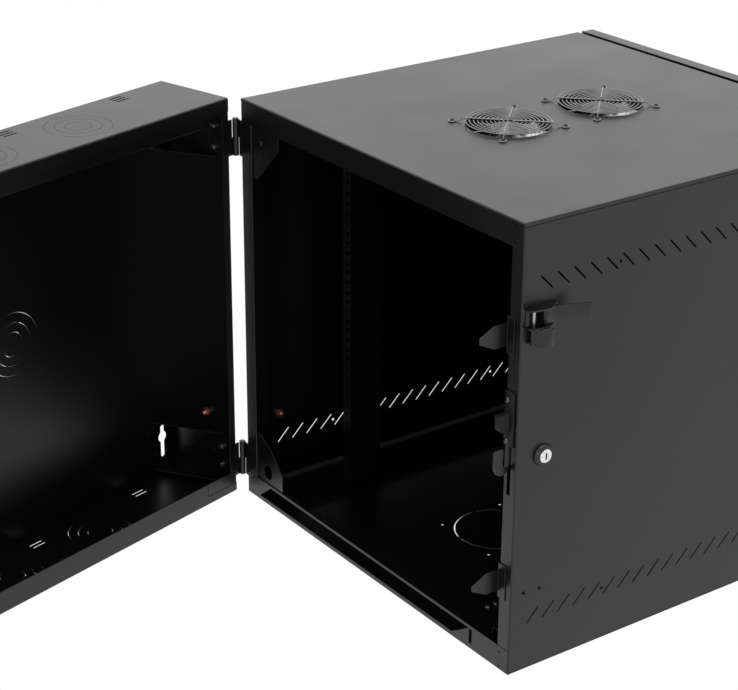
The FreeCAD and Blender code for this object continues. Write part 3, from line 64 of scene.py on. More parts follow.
# The back of the wall box is one steel sheet, 1.5 mm thick, in fine black powder coat.
# It holds four keyholes for the wall screws and, in its middle, a knockout for a cable gland:
# three rings of narrow laser slits, each with bridges that hold the discs until they are struck out.
MM = 0.001
SHEET = 1.5 * MM
SHARP_EDGE = 0.4 * MM
LONG_FOLD = 100 * MM
WIDE_FACE = 0.0025
COAT_COLOUR = (0.0022, 0.0022, 0.0023, 1)
COAT_ROUGHNESS = 0.34
COAT_GRAIN = 430
COAT_PEEL = 0.3 * MM


def powder_coat(name, colour, roughness, grain, depth):
    """Paint with a fine orange peel, faint speckle and slow changes of gloss."""
    finish = bpy.data.materials.new(name)
    finish.use_nodes = True
    tree = finish.node_tree
    shader = tree.nodes["Principled BSDF"]
    place = tree.nodes.new("ShaderNodeTexCoord")
    peel = tree.nodes.new("ShaderNodeTexNoise")
    peel.inputs["Scale"].default_value = grain
    peel.inputs["Detail"].default_value = 3
    peel.inputs["Roughness"].default_value = 0.6
    cloud = tree.nodes.new("ShaderNodeTexNoise")
    cloud.inputs["Scale"].default_value = 7
    cloud.inputs["Detail"].default_value = 2
    spread = tree.nodes.new("ShaderNodeMapRange")
    spread.inputs["From Min"].default_value = 0.3
    spread.inputs["From Max"].default_value = 0.7
    spread.inputs["To Min"].default_value = roughness - 0.02
    spread.inputs["To Max"].default_value = roughness + 0.03
    speck = tree.nodes.new("ShaderNodeMix")
    speck.data_type = "RGBA"
    speck.blend_type = "MULTIPLY"
    speck.inputs["Factor"].default_value = 0.6
    speck.inputs["A"].default_value = colour
    relief = tree.nodes.new("ShaderNodeBump")
    relief.inputs["Strength"].default_value = 0.5
    relief.inputs["Distance"].default_value = depth
    link = tree.links.new
    link(place.outputs["Object"], peel.inputs["Vector"])
    link(place.outputs["Object"], cloud.inputs["Vector"])
    link(cloud.outputs["Fac"], spread.inputs["Value"])
    link(spread.outputs["Result"], shader.inputs["Roughness"])
    link(peel.outputs["Fac"], relief.inputs["Height"])
    link(relief.outputs["Normal"], shader.inputs["Normal"])
    link(peel.outputs["Color"], speck.inputs["B"])
    link(speck.outputs["Result"], shader.inputs["Base Color"])
    return finish


black_coat = powder_coat("black_powder_coat", COAT_COLOUR, COAT_ROUGHNESS, COAT_GRAIN, COAT_PEEL)


def plain(piece):
    """The piece with its modifiers applied."""
    found = piece.evaluated_get(bpy.context.evaluated_depsgraph_get())
    mesh = bpy.data.meshes.new_from_object(found)
    piece.modifiers.clear()
    piece.data = mesh
    return piece


def is_bend(edge):
    """True for the outer edge of a long fold between two wide faces."""
    return (
        len(edge.link_faces) == 2
        and edge.is_convex
        and edge.calc_length() > LONG_FOLD
        and min(face.calc_area() for face in edge.link_faces) > WIDE_FACE
        and edge.calc_face_angle() > math.radians(60)
    )


def rounded_copy(node, edge=SHARP_EDGE, bend=0):
    """A copy of the node's solid, merged, with the bends of its folds and its small edge radii."""
    mesh = frame["nodes"][node].data.copy()
    work = bmesh.new()
    work.from_mesh(mesh)
    bmesh.ops.remove_doubles(work, verts=work.verts, dist=1e-6)
    bmesh.ops.dissolve_limit(work, angle_limit=math.radians(0.5), verts=work.verts, edges=work.edges)
    if bend:
        folds = [found for found in work.edges if is_bend(found)]
        bmesh.ops.bevel(work, geom=folds, offset=bend, segments=4, profile=0.5, affect="EDGES")
    work.to_mesh(mesh)
    work.free()
    mesh.materials.clear()
    mesh.shade_flat()
    piece = bpy.data.objects.new(node + "_finished", mesh)
    bpy.context.scene.collection.objects.link(piece)
    soften = piece.modifiers.new("edges", "BEVEL")
    soften.width = edge
    soften.segments = 2
    soften.limit_method = "ANGLE"
    soften.angle_limit = math.radians(40)
    return plain(piece)


def cut_out(piece, tools):
    """The piece less the tools."""
    mesh = bpy.data.meshes.new("tools")
    work = bmesh.new()
    for tool in tools:
        work.from_mesh(tool.data)
        bpy.data.objects.remove(tool)
    work.to_mesh(mesh)
    work.free()
    whole = bpy.data.objects.new("tools", mesh)
    bpy.context.scene.collection.objects.link(whole)
    take = piece.modifiers.new("take", "BOOLEAN")
    take.operation = "DIFFERENCE"
    take.solver = "EXACT"
    take.object = whole
    plain(piece)
    bpy.data.objects.remove(whole)
    return piece


def fit(piece, node, finish, stands_for=True):
    """The piece takes the finish and moves with the node's body; by default it stands for the node."""
    mesh = piece.data
    mesh.materials.clear()
    mesh.materials.append(finish)
    for face in mesh.polygons:
        face.material_index = 0
    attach(piece, frame["nodes"][node]["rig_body"])
    if stands_for:
        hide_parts(node)
    return piece


def coated(piece, node, stands_for=True):
    return fit(piece, node, black_coat, stands_for)


def new_tree(name, sizes):
    """An empty tree of geometry nodes with a number input for each size."""
    tree = bpy.data.node_groups.new(name, "GeometryNodeTree")
    tree.interface.new_socket("Geometry", in_out="INPUT", socket_type="NodeSocketGeometry")
    for size, kind in sizes.items():
        tree.interface.new_socket(size, in_out="INPUT", socket_type=kind)
    tree.interface.new_socket("Geometry", in_out="OUTPUT", socket_type="NodeSocketGeometry")
    return tree, tree.nodes.new("NodeGroupInput"), tree.nodes.new("NodeGroupOutput")


def grown(name, tree, mesh=None, **sizes):
    """The plain piece that the tree grows, from a mesh of its own or from nothing."""
    piece = bpy.data.objects.new(name, mesh or bpy.data.meshes.new(name))
    bpy.context.scene.collection.objects.link(piece)
    grow = piece.modifiers.new("grow", "NODES")
    grow.node_group = tree
    for socket in tree.interface.items_tree:
        if socket.in_out == "INPUT" and socket.name in sizes:
            grow[socket.identifier] = sizes[socket.name]
    return plain(piece)


NUMBER = "NodeSocketFloat"
COUNT = "NodeSocketInt"
RING_RADII = (45 * MM, 31 * MM, 17.5 * MM)
RING_SLIT = 0.5 * MM
RING_GAP = math.radians(6)
RING_BRIDGES = 4
RING_TURN_PER_METRE = 40

slit_ring, given, made = new_tree(
    "slit_ring", {"Radius": NUMBER, "Slit": NUMBER, "Depth": NUMBER, "Gap": NUMBER, "Bridges": COUNT}
)
nodes = slit_ring.nodes
link = slit_ring.links.new
arc = nodes.new("GeometryNodeCurveArc")
arc.mode = "RADIUS"
arc.inputs["Resolution"].default_value = 20
section = nodes.new("GeometryNodeCurvePrimitiveQuadrilateral")
band = nodes.new("GeometryNodeCurveToMesh")
band.inputs["Fill Caps"].default_value = True
share = nodes.new("ShaderNodeMath")
share.operation = "DIVIDE"
share.inputs[0].default_value = 2 * math.pi
sweep = nodes.new("ShaderNodeMath")
sweep.operation = "SUBTRACT"
starts = nodes.new("GeometryNodePoints")
index = nodes.new("GeometryNodeInputIndex")
step = nodes.new("ShaderNodeMath")
step.operation = "MULTIPLY"
turn = nodes.new("ShaderNodeCombineXYZ")
spread = nodes.new("GeometryNodeInstanceOnPoints")
whole = nodes.new("GeometryNodeRealizeInstances")
dress = nodes.new("GeometryNodeSetMaterial")
dress.inputs["Material"].default_value = black_coat
link(given.outputs["Radius"], arc.inputs["Radius"])
link(given.outputs["Bridges"], share.inputs[1])
link(share.outputs[0], sweep.inputs[0])
link(given.outputs["Gap"], sweep.inputs[1])
link(sweep.outputs[0], arc.inputs["Sweep Angle"])
link(given.outputs["Slit"], section.inputs["Width"])
link(given.outputs["Depth"], section.inputs["Height"])
link(arc.outputs["Curve"], band.inputs["Curve"])
link(section.outputs["Curve"], band.inputs["Profile Curve"])
link(given.outputs["Bridges"], starts.inputs["Count"])
link(index.outputs["Index"], step.inputs[0])
link(share.outputs[0], step.inputs[1])
link(step.outputs[0], turn.inputs["Z"])
link(starts.outputs["Points"], spread.inputs["Points"])
link(band.outputs["Mesh"], spread.inputs["Instance"])
link(turn.outputs["Vector"], spread.inputs["Rotation"])
link(spread.outputs["Instances"], whole.inputs["Geometry"])
link(whole.outputs["Geometry"], dress.inputs["Geometry"])
link(dress.outputs["Geometry"], made.inputs["Geometry"])


def knockout(place, radii=RING_RADII, slit=RING_SLIT):
    """The slits of a knockout, ready to be taken out of the sheet that the place lies on."""
    rings = []
    for radius in radii:
        ring = grown(
            "knockout_slit",
            slit_ring,
            Radius=radius,
            Slit=slit,
            Depth=4 * SHEET,
            Gap=RING_GAP,
            Bridges=RING_BRIDGES,
        )
        ring.data.transform(place @ Matrix.Rotation(radius * RING_TURN_PER_METRE, 4, "Z"))
        rings.append(ring)
    return rings


UPRIGHT = Matrix.Rotation(math.pi / 2, 4, "X")
back_panel = rounded_copy("wall_back_panel")
coated(cut_out(back_panel, knockout(UPRIGHT)), "wall_back_panel")

# The top, the bottom and the two sides of the wall box are folded sheets, spot-welded at the corners.
# The top and the bottom have two knockouts each between their vent slits. A stiffener runs behind
# the top fold, and a bracket with two three-sided flanges fills each corner.
BEND_RADIUS = 2.2 * MM
KNOCKOUT_X = 82 * MM
KNOCKOUT_Y = -65 * MM
for name in ("wall_top_panel", "wall_bottom_panel"):
    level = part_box(name)[1].z if name == "wall_top_panel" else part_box(name)[0].z
    slits = []
    for side in (-1, 1):
        slits += knockout(Matrix.Translation((side * KNOCKOUT_X, KNOCKOUT_Y, level)))
    coated(cut_out(rounded_copy(name, bend=BEND_RADIUS), slits), name)
for name in ("wall_hinge_side", "wall_lock_side", "wall_top_stiffener"):
    coated(rounded_copy(name, bend=BEND_RADIUS), name)
for name in ("wall_corner_brackets", "hook_strike", "draw_latch_keeper"):
    coated(rounded_copy(name), name)

# Spot welds join the brackets and the sides to the back. Each leaves a small low dome in the steel,
# which the powder coat covers.
DOME = [(1.7, 0), (1.5, 0.28), (0.9, 0.5), (0, 0.6)]
WELDS_ON_BACK = [(286.6, -224.4), (258.1, -222), (258.7, -266.4), (244.8, -271.4), (244, -227.1)]
WELDS_ON_SIDE = [(-74.3, -214.7), (-85.2, -245.1), (-102.7, -232), (-101.8, -261.1)]


def smooth(piece, angle=38):
    """The piece shaded smooth, with the edges over the angle in degrees kept sharp."""
    piece.data.shade_smooth()
    piece.data.set_sharp_from_angle(angle=math.radians(angle))
    return piece


def turned(name, outline, place=Matrix(), sides=40):
    """A solid of revolution about the place's own upright: outline is (radius, height) in mm, base first."""
    work = bmesh.new()
    if outline[0][0] > 0 and outline[-1][0] == 0:
        outline = [(0, outline[0][1])] + list(outline)
    corners = [work.verts.new((radius * MM, 0, height * MM)) for radius, height in outline]
    closed = outline[0][0] > 0 and outline[-1][0] > 0
    ends = zip(corners, corners[1:] + corners[:1]) if closed else zip(corners, corners[1:])
    sides_of = [work.edges.new(pair) for pair in ends]
    bmesh.ops.spin(
        work, geom=corners + sides_of, cent=(0, 0, 0), axis=(0, 0, 1), angle=2 * math.pi, steps=sides
    )
    bmesh.ops.remove_doubles(work, verts=work.verts, dist=1e-6)
    bmesh.ops.recalc_face_normals(work, faces=work.faces)
    mesh = bpy.data.meshes.new(name)
    work.to_mesh(mesh)
    work.free()
    mesh.transform(place)
    piece = bpy.data.objects.new(name, mesh)
    bpy.context.scene.collection.objects.link(piece)
    return smooth(piece)


planting = bpy.data.node_groups.new("planting", "GeometryNodeTree")
for size, kind in (("Places", "Geometry"), ("Head", "Object"), ("Finish", "Material")):
    planting.interface.new_socket(size, in_out="INPUT", socket_type="NodeSocket" + kind)
planting.interface.new_socket("Geometry", in_out="OUTPUT", socket_type="NodeSocketGeometry")
given = planting.nodes.new("NodeGroupInput")
head = planting.nodes.new("GeometryNodeObjectInfo")
aim = planting.nodes.new("GeometryNodeInputNamedAttribute")
aim.data_type = "FLOAT_VECTOR"
aim.inputs["Name"].default_value = "aim"
plant = planting.nodes.new("GeometryNodeInstanceOnPoints")
whole = planting.nodes.new("GeometryNodeRealizeInstances")
dress = planting.nodes.new("GeometryNodeSetMaterial")
made = planting.nodes.new("NodeGroupOutput")
link = planting.links.new
link(given.outputs["Places"], plant.inputs["Points"])
link(given.outputs["Head"], head.inputs["Object"])
link(head.outputs["Geometry"], plant.inputs["Instance"])
link(aim.outputs["Attribute"], plant.inputs["Rotation"])
link(plant.outputs["Instances"], whole.inputs["Geometry"])
link(whole.outputs["Geometry"], dress.inputs["Geometry"])
link(given.outputs["Finish"], dress.inputs["Material"])
link(dress.outputs["Geometry"], made.inputs["Geometry"])


def planted(name, form, places, finish):
    """One piece with a copy of the form at each place."""
    mesh = bpy.data.meshes.new(name)
    mesh.from_pydata([place.translation for place in places], [], [])
    turns = mesh.attributes.new("aim", "FLOAT_VECTOR", "POINT")
    for spot, place in zip(turns.data, places):
        spot.vector = place.to_euler()
    piece = grown(name, planting, mesh, Head=form, Finish=finish)
    bpy.data.objects.remove(form)
    return piece


def facing(place, towards):
    """A place whose upright points towards the given direction."""
    turn = Vector(towards).to_track_quat("Z", "Y").to_matrix().to_4x4()
    return Matrix.Translation(place) @ turn


def landing(names, start, towards):
    """Where a line from the start meets the first of the named nodes, facing back along the line."""
    best = None
    for name in names:
        mesh = frame["nodes"][name].data
        tree = BVHTree.FromPolygons([v.co for v in mesh.vertices], [p.vertices for p in mesh.polygons])
        spot, _, _, far = tree.ray_cast(Vector(start), Vector(towards))
        if spot is not None and (best is None or far < best[0]):
            best = (far, spot)
    return facing(best[1], -Vector(towards))


BACK_NODES = ("wall_back_panel", "wall_corner_brackets")
SIDE_NODES = ("wall_hinge_side", "wall_corner_brackets")
weld_places = [
    landing(BACK_NODES, (sx * x * MM, -0.1, sz * z * MM), (0, 1, 0))
    for x, z in WELDS_ON_BACK
    for sx in (-1, 1)
    for sz in (-1, 1)
]
weld_places += [
    landing(SIDE_NODES, (0.2, y * MM, sz * z * MM), (1, 0, 0)) for y, z in WELDS_ON_SIDE for sz in (-1, 1)
]
welds = planted("spot_welds", turned("weld_dome", DOME, sides=12), weld_places, black_coat)
coated(smooth(welds), "wall_back_panel", stands_for=False)

# Two lift-off hinges carry the rack body: leaves of folded steel rolled round a coated pin, a web
# that joins each leaf to its knuckle, and plated screws through the leaves.
ZINC_COLOUR = (0.5, 0.5, 0.49, 1)


def bare_metal(name, colour, roughness, grain, stretch=(1, 1, 1)):
    """Metal with fine drawn lines, cloudy gloss and a little change of tone."""
    finish = bpy.data.materials.new(name)
    finish.use_nodes = True
    tree = finish.node_tree
    shader = tree.nodes["Principled BSDF"]
    shader.inputs["Metallic"].default_value = 1
    place = tree.nodes.new("ShaderNodeTexCoord")
    turn = tree.nodes.new("ShaderNodeMapping")
    turn.inputs["Scale"].default_value = stretch
    lines = tree.nodes.new("ShaderNodeTexNoise")
    lines.inputs["Scale"].default_value = grain
    lines.inputs["Detail"].default_value = 4
    tone = tree.nodes.new("ShaderNodeMix")
    tone.data_type = "RGBA"
    tone.inputs["A"].default_value = colour
    tone.inputs["B"].default_value = [part * 0.62 for part in colour[:3]] + [1]
    spread = tree.nodes.new("ShaderNodeMapRange")
    spread.inputs["To Min"].default_value = max(0.03, roughness - 0.1)
    spread.inputs["To Max"].default_value = roughness + 0.12
    relief = tree.nodes.new("ShaderNodeBump")
    relief.inputs["Strength"].default_value = 0.15
    relief.inputs["Distance"].default_value = 0.03 * MM
    link = tree.links.new
    link(place.outputs["Object"], turn.inputs["Vector"])
    link(turn.outputs["Vector"], lines.inputs["Vector"])
    link(lines.outputs["Fac"], spread.inputs["Value"])
    link(lines.outputs["Fac"], tone.inputs["Factor"])
    link(tone.outputs["Result"], shader.inputs["Base Color"])
    link(spread.outputs["Result"], shader.inputs["Roughness"])
    link(lines.outputs["Fac"], relief.inputs["Height"])
    link(relief.outputs["Normal"], shader.inputs["Normal"])
    return finish


zinc = bare_metal("zinc_plate", ZINC_COLOUR, 0.32, 600)


def plated(name):
    return fit(smooth(rounded_copy(name, 0.3 * MM)), name, zinc)


def bar(length, width, depth, place=Matrix()):
    """A square bar in mm, centred on the place."""
    mesh = bpy.data.meshes.new("bar")
    work = bmesh.new()
    bmesh.ops.create_cube(work, size=1)
    work.to_mesh(mesh)
    work.free()
    mesh.transform(place @ Matrix.Diagonal((length * MM, width * MM, depth * MM, 1)))
    piece = bpy.data.objects.new("bar", mesh)
    bpy.context.scene.collection.objects.link(piece)
    return piece


def joined(name, pieces):
    """One piece from several."""
    mesh = bpy.data.meshes.new(name)
    work = bmesh.new()
    for piece in pieces:
        work.from_mesh(piece.data)
        bpy.data.objects.remove(piece)
    work.to_mesh(mesh)
    work.free()
    piece = bpy.data.objects.new(name, mesh)
    bpy.context.scene.collection.objects.link(piece)
    return smooth(piece)


SWING = math.radians(75)
HINGE_AXIS = Vector((0.312, -0.1285, 0))
BODY_REAR = Vector((0.3, -0.13, -0.3))
shut = Matrix(((-1, 0, 0, 0), (0, -1, 0, 0), (0, 0, 1, 0), (0, 0, 0, 1)))
BODY = (
    Matrix.Translation(HINGE_AXIS)
    @ Matrix.Rotation(SWING, 4, "Z")
    @ Matrix.Translation(BODY_REAR - HINGE_AXIS)
    @ shut
)
WEB_WIDTH = 5.3
WEB_THICKNESS = 2
HINGE_WEBS = {
    "wall_hinge_leaves": (
        Matrix.Translation((0.30465, -0.125, 0)),
        ((-249.8, -224.5), (241.7, 267)),
    ),
    "body_hinge_leaves": (
        BODY @ Matrix.Translation((-0.00465, 0.002, 0)),
        ((24.5, 49.7), (516, 541.3)),
    ),
}
for name, (place, spans) in HINGE_WEBS.items():
    webs = []
    for low, high in spans:
        middle = Matrix.Translation((0, 0, (low + high) / 2 * MM))
        webs.append(bar(WEB_WIDTH, WEB_THICKNESS, high - low, place @ middle))
    leaves = smooth(rounded_copy(name, 0.25 * MM))
    coated(joined(name + "_rolled", [leaves] + webs), name)
coated(smooth(rounded_copy("hinge_pins", 0.4 * MM)), "hinge_pins")
for name in ("wall_hinge_screws", "body_hinge_screws"):
    plated(name)

# The rack body is a tube of four folded, welded and coated sheets. The sides carry two rows of
# slanted vent slots, blank where the photograph shows none, the top laps over them, and the floor has
# a large knockout under each fan. Small punched holes hold the sheets in the jig.
BODY_WIDTH = 600
ACROSS, BACK_TO_FRONT, UP = (1, 0, 0), (0, 1, 0), (0, 0, 1)
SIDE_HOLES = [(151, 74.8, 2.25), (453, 74.8, 2.25), (151, 521.2, 2.25), (453, 521.2, 2.25)]
LOCK_POST_HOLES = [(20.5, 111.5, 2.5), (46, 110, 2.5)]
BLANKS = [(25.2, 48.2, 74.8), (25.2, 56, 521.2), (58, 74.5, 521.2)]
TOP_FOLD_HOLES = [(12, 580), (100, 580), (298, 580), (500, 580), (584, 594), (584, 573)]
BOTTOM_FOLD_HOLES = [(582.5, 25), (582.5, 4.4), (13, 6), (13, 27)]
FLOOR_RINGS = [(300, 222), (300, 381)]
FLOOR_RING_RADII = (56.5 * MM,)
FLOOR_RING_SLIT = 1.7 * MM
FLOOR_RING_TURN = math.radians(45)
HINGE_SIDE_BEND = 1.2 * MM
BLANK_THICKNESS = 1.44
BLANK_HEIGHT = 40
PUNCH_RADIUS = 1.5
GUSSET_SLIT = (0.8, 18, 8)
GUSSET_SLIT_AT = (51.5, 2.2, 538)


def in_body(across, depth, height, towards=UP):
    """A place in the rack body, from its hinge-side rear bottom corner in mm, facing a body direction."""
    return BODY @ facing(Vector((across, depth, height)) * MM, towards)


def punched(places, radius, sides=20):
    """Round punches, 12 mm long, centred on the places."""
    return [turned("punch", [(radius, -6), (radius, 6), (0, 6)], place, sides) for place in places]


hinge_holes = [punched([in_body(0, d, z, ACROSS)], r)[0] for d, z, r in SIDE_HOLES]
hinge_side = cut_out(rounded_copy("hinge_side_panel", bend=HINGE_SIDE_BEND), hinge_holes)
blanks = [
    bar(BLANK_THICKNESS, end - start, BLANK_HEIGHT, in_body(0.75, (start + end) / 2, z))
    for start, end, z in BLANKS
]
hinge_side = joined("hinge_side_sheet", [hinge_side] + blanks)
hinge_side.data.shade_flat()
coated(hinge_side, "hinge_side_panel")
lock_holes = [
    punched([in_body(BODY_WIDTH, d, z, ACROSS)], r)[0] for d, z, r in SIDE_HOLES + LOCK_POST_HOLES
]
coated(cut_out(rounded_copy("lock_side_panel", bend=BEND_RADIUS), lock_holes), "lock_side_panel")
top_holes = punched([in_body(w, 0, z, BACK_TO_FRONT) for w, z in TOP_FOLD_HOLES], PUNCH_RADIUS, 12)
coated(cut_out(rounded_copy("top_panel", bend=BEND_RADIUS), top_holes), "top_panel")
floor_cuts = punched([in_body(w, 0, z, BACK_TO_FRONT) for w, z in BOTTOM_FOLD_HOLES], PUNCH_RADIUS, 12)
for across, depth in FLOOR_RINGS:
    ring_place = in_body(across, depth, 0.75) @ Matrix.Rotation(FLOOR_RING_TURN, 4, "Z")
    floor_cuts += knockout(ring_place, FLOOR_RING_RADII, FLOOR_RING_SLIT)
coated(cut_out(rounded_copy("bottom_panel"), floor_cuts), "bottom_panel")
gusset_slit = bar(*GUSSET_SLIT, in_body(*GUSSET_SLIT_AT, BACK_TO_FRONT))
coated(cut_out(rounded_copy("corner_gussets"), [gusset_slit]), "corner_gussets")
for name in ("hinge_top_angle", "lock_top_angle"):
    coated(rounded_copy(name, bend=BEND_RADIUS), name)

# Four rack rails of folded and coated steel, each with three square holes to the unit, are screwed to
# folded runners along the depth, above and below.
RAIL_BEND = 1.8 * MM
for name in ("rear_hinge_rail", "rear_lock_rail", "front_hinge_rail", "front_lock_rail"):
    coated(rounded_copy(name, bend=RAIL_BEND), name)
for name in ("lower_depth_runners", "upper_depth_runners"):
    coated(rounded_copy(name, bend=BEND_RADIUS), name)
plated("rail_screws")

# Two fans hang under the top. A moulded frame carries the motor on four struts, and a bright rotor
# with seven twisted blades turns in it.
FAN_ACROSS = 300
FAN_DEPTHS = {"rear": 222, "front": 381}
HUB = [
    (0, 577.5), (24, 577.5), (24.6, 578.1), (24.6, 594.6),
    (23, 596.3), (12.4, 596.3), (11.8, 595.7), (0, 595.7),
]
BLADES = 7
BLADE_LEVEL = 587
BLADE_THICKNESS = 1.2 * MM
BLADE_CAMBER = 1.6
BLADE_SWEEP = 0.12
BLADE_ROOT = 23.5
BLADE_TIP = 55
BLADE_CHORD = 26
BLADE_TWIST = (42, 26)
BLADE_STEPS = 8
fan_plastic = powder_coat("fan_plastic", (0.006, 0.006, 0.0065, 1), 0.42, 300, 0.03 * MM)
rotor_metal = bare_metal("rotor_metal", (0.62, 0.62, 0.63, 1), 0.28, 240)


def blade():
    """One blade: a curved plate, twisted from root to tip."""
    corners, faces = [], []
    for i in range(BLADE_STEPS + 1):
        along = i / BLADE_STEPS
        radius = BLADE_ROOT + (BLADE_TIP - BLADE_ROOT) * along
        twist = math.radians(BLADE_TWIST[0] + (BLADE_TWIST[1] - BLADE_TWIST[0]) * along)
        for j in range(BLADE_STEPS + 1):
            chord = (j / BLADE_STEPS - 0.5) * BLADE_CHORD * (0.72 + 0.28 * along)
            camber = BLADE_CAMBER * (1 - (2 * j / BLADE_STEPS - 1) ** 2)
            sweep = BLADE_SWEEP * along
            y = chord * math.cos(twist) - camber * math.sin(twist)
            z = chord * math.sin(twist) + camber * math.cos(twist)
            turn = y / radius + sweep
            corners.append((radius * math.cos(turn) * MM, radius * math.sin(turn) * MM, z * MM))
    row = BLADE_STEPS + 1
    for i in range(BLADE_STEPS):
        for j in range(BLADE_STEPS):
            faces.append((i * row + j, (i + 1) * row + j, (i + 1) * row + j + 1, i * row + j + 1))
    mesh = bpy.data.meshes.new("blade")
    mesh.from_pydata(corners, [], faces)
    piece = bpy.data.objects.new("blade", mesh)
    bpy.context.scene.collection.objects.link(piece)
    wall = piece.modifiers.new("wall", "SOLIDIFY")
    wall.thickness = BLADE_THICKNESS
    wall.offset = 0
    return smooth(plain(piece), 50)


for end, depth in FAN_DEPTHS.items():
    fit(rounded_copy(end + "_fan_frame", 0.4 * MM), end + "_fan_frame", fan_plastic)
    rotor_place = in_body(FAN_ACROSS, depth, 0)
    blade_places = [
        in_body(FAN_ACROSS, depth, BLADE_LEVEL) @ Matrix.Rotation(2 * math.pi * i / BLADES, 4, "Z")
        for i in range(BLADES)
    ]
    blades = planted("blades", blade(), blade_places, rotor_metal)
    hub = turned("hub", HUB, rotor_place, 48)
    fit(joined(end + "_rotor", [blades, hub]), end + "_fan_rotor", rotor_metal)

# Each fan has a guard of black wire: ten rings welded under four arms, which step down outside the
# last ring and end in an eye round a black screw.
WIRE = 1.7 * MM
RING_COUNT = 10
RING_FIRST = 7.5 * MM
RING_LAST = 56.5 * MM
RING_LEVEL = 604.4
ARM_LEVEL = 606
EYE_LEVEL = 601.2
EYE_AT = 74.1
EYE_RADIUS = 4.6
EYE_POINTS = 17
wire_black = bare_metal("guard_wire", (0.3, 0.3, 0.31, 1), 0.2, 900)

wire_rings, given, made = new_tree(
    "wire_rings", {"Rings": COUNT, "First": NUMBER, "Last": NUMBER, "Wire": NUMBER}
)
nodes = wire_rings.nodes
link = wire_rings.links.new
points = nodes.new("GeometryNodePoints")
index = nodes.new("GeometryNodeInputIndex")
last_one = nodes.new("ShaderNodeMath")
last_one.operation = "SUBTRACT"
last_one.inputs[1].default_value = 1
radius = nodes.new("ShaderNodeMapRange")
circle = nodes.new("GeometryNodeCurvePrimitiveCircle")
circle.inputs["Resolution"].default_value = 56
circle.inputs["Radius"].default_value = 1
put = nodes.new("GeometryNodeInstanceOnPoints")
whole = nodes.new("GeometryNodeRealizeInstances")
section = nodes.new("GeometryNodeCurvePrimitiveCircle")
section.inputs["Resolution"].default_value = 8
half = nodes.new("ShaderNodeMath")
half.operation = "MULTIPLY"
half.inputs[1].default_value = 0.5
tube = nodes.new("GeometryNodeCurveToMesh")
dress = nodes.new("GeometryNodeSetMaterial")
dress.inputs["Material"].default_value = wire_black
link(given.outputs["Rings"], points.inputs["Count"])
link(given.outputs["Rings"], last_one.inputs[0])
link(index.outputs["Index"], radius.inputs["Value"])
link(last_one.outputs[0], radius.inputs["From Max"])
link(given.outputs["First"], radius.inputs["To Min"])
link(given.outputs["Last"], radius.inputs["To Max"])
link(points.outputs["Points"], put.inputs["Points"])
link(circle.outputs["Curve"], put.inputs["Instance"])
link(radius.outputs["Result"], put.inputs["Scale"])
link(put.outputs["Instances"], whole.inputs["Geometry"])
link(given.outputs["Wire"], half.inputs[0])
link(half.outputs[0], section.inputs["Radius"])
link(whole.outputs["Geometry"], tube.inputs["Curve"])
link(section.outputs["Curve"], tube.inputs["Profile Curve"])
link(tube.outputs["Mesh"], dress.inputs["Geometry"])
link(dress.outputs["Geometry"], made.inputs["Geometry"])


def guard_arm():
    """One arm from the first ring out to its eye, as a bent wire."""
    line = [
        (7.5, 0, ARM_LEVEL),
        (57, 0, ARM_LEVEL),
        (61, 0, ARM_LEVEL - 0.6),
        (65, 0, EYE_LEVEL + 0.6),
        (68, 0, EYE_LEVEL),
    ]
    for i in range(EYE_POINTS):
        turn = math.pi - 2 * math.pi * i / EYE_POINTS
        line.append((EYE_AT + EYE_RADIUS * math.cos(turn), EYE_RADIUS * math.sin(turn), EYE_LEVEL))
    bent = bpy.data.curves.new("arm", "CURVE")
    bent.dimensions = "3D"
    bent.bevel_depth = WIRE / 2
    bent.bevel_resolution = 2
    bent.use_fill_caps = True
    run = bent.splines.new("POLY")
    run.points.add(len(line) - 1)
    for point, (x, y, z) in zip(run.points, line):
        point.co = (x * MM, y * MM, z * MM, 1)
    piece = bpy.data.objects.new("arm", bent)
    bpy.context.scene.collection.objects.link(piece)
    mesh = bpy.data.meshes.new_from_object(piece.evaluated_get(bpy.context.evaluated_depsgraph_get()))
    bpy.data.objects.remove(piece)
    piece = bpy.data.objects.new("arm", mesh)
    bpy.context.scene.collection.objects.link(piece)
    return piece


for end, depth in FAN_DEPTHS.items():
    rings = grown(
        "rings", wire_rings, Rings=RING_COUNT, First=RING_FIRST, Last=RING_LAST, Wire=WIRE
    )
    rings.data.transform(in_body(FAN_ACROSS, depth, RING_LEVEL))
    arm_places = [
        in_body(FAN_ACROSS, depth, 0) @ Matrix.Rotation(math.radians(45 + 90 * i), 4, "Z")
        for i in range(4)
    ]
    arms = planted("arms", guard_arm(), arm_places, wire_black)
    guard = joined(end + "_guard", [rings, arms])
    fit(guard, end + "_fan_guard", wire_black)

# Pan-head screws with a cross recess hold the guards. They are coated with the sheets, and the same
# head in other sizes serves further on for the block, the floor and the gusset.
FAN_SCREW = 52.4
HEAD_HEIGHT = 2.4
PAN_HEAD = [(3.9, 0), (3.9, 0.7), (3.5, 1.5), (2.5, 2.1), (1.2, 2.35), (0, HEAD_HEIGHT)]
CROSS_WIDTH = 1.0
CROSS_LENGTH = 4.4
CROSS_DEPTH = 1.5
GUARD_SCREW_SIZE = 0.72
GUARD_SCREW_LEVEL = 602


def cross_head(size=1):
    """A screw head of the given size, with its base on the origin."""
    head = turned("head", [(radius * size, height * size) for radius, height in PAN_HEAD], sides=24)
    up = Matrix.Translation((0, 0, HEAD_HEIGHT * size * MM))
    first = bar(CROSS_LENGTH, CROSS_WIDTH, 2 * CROSS_DEPTH, up)
    second = bar(CROSS_WIDTH, CROSS_LENGTH, 2 * CROSS_DEPTH, up)
    return smooth(cut_out(cut_out(head, [first]), [second]), 30)


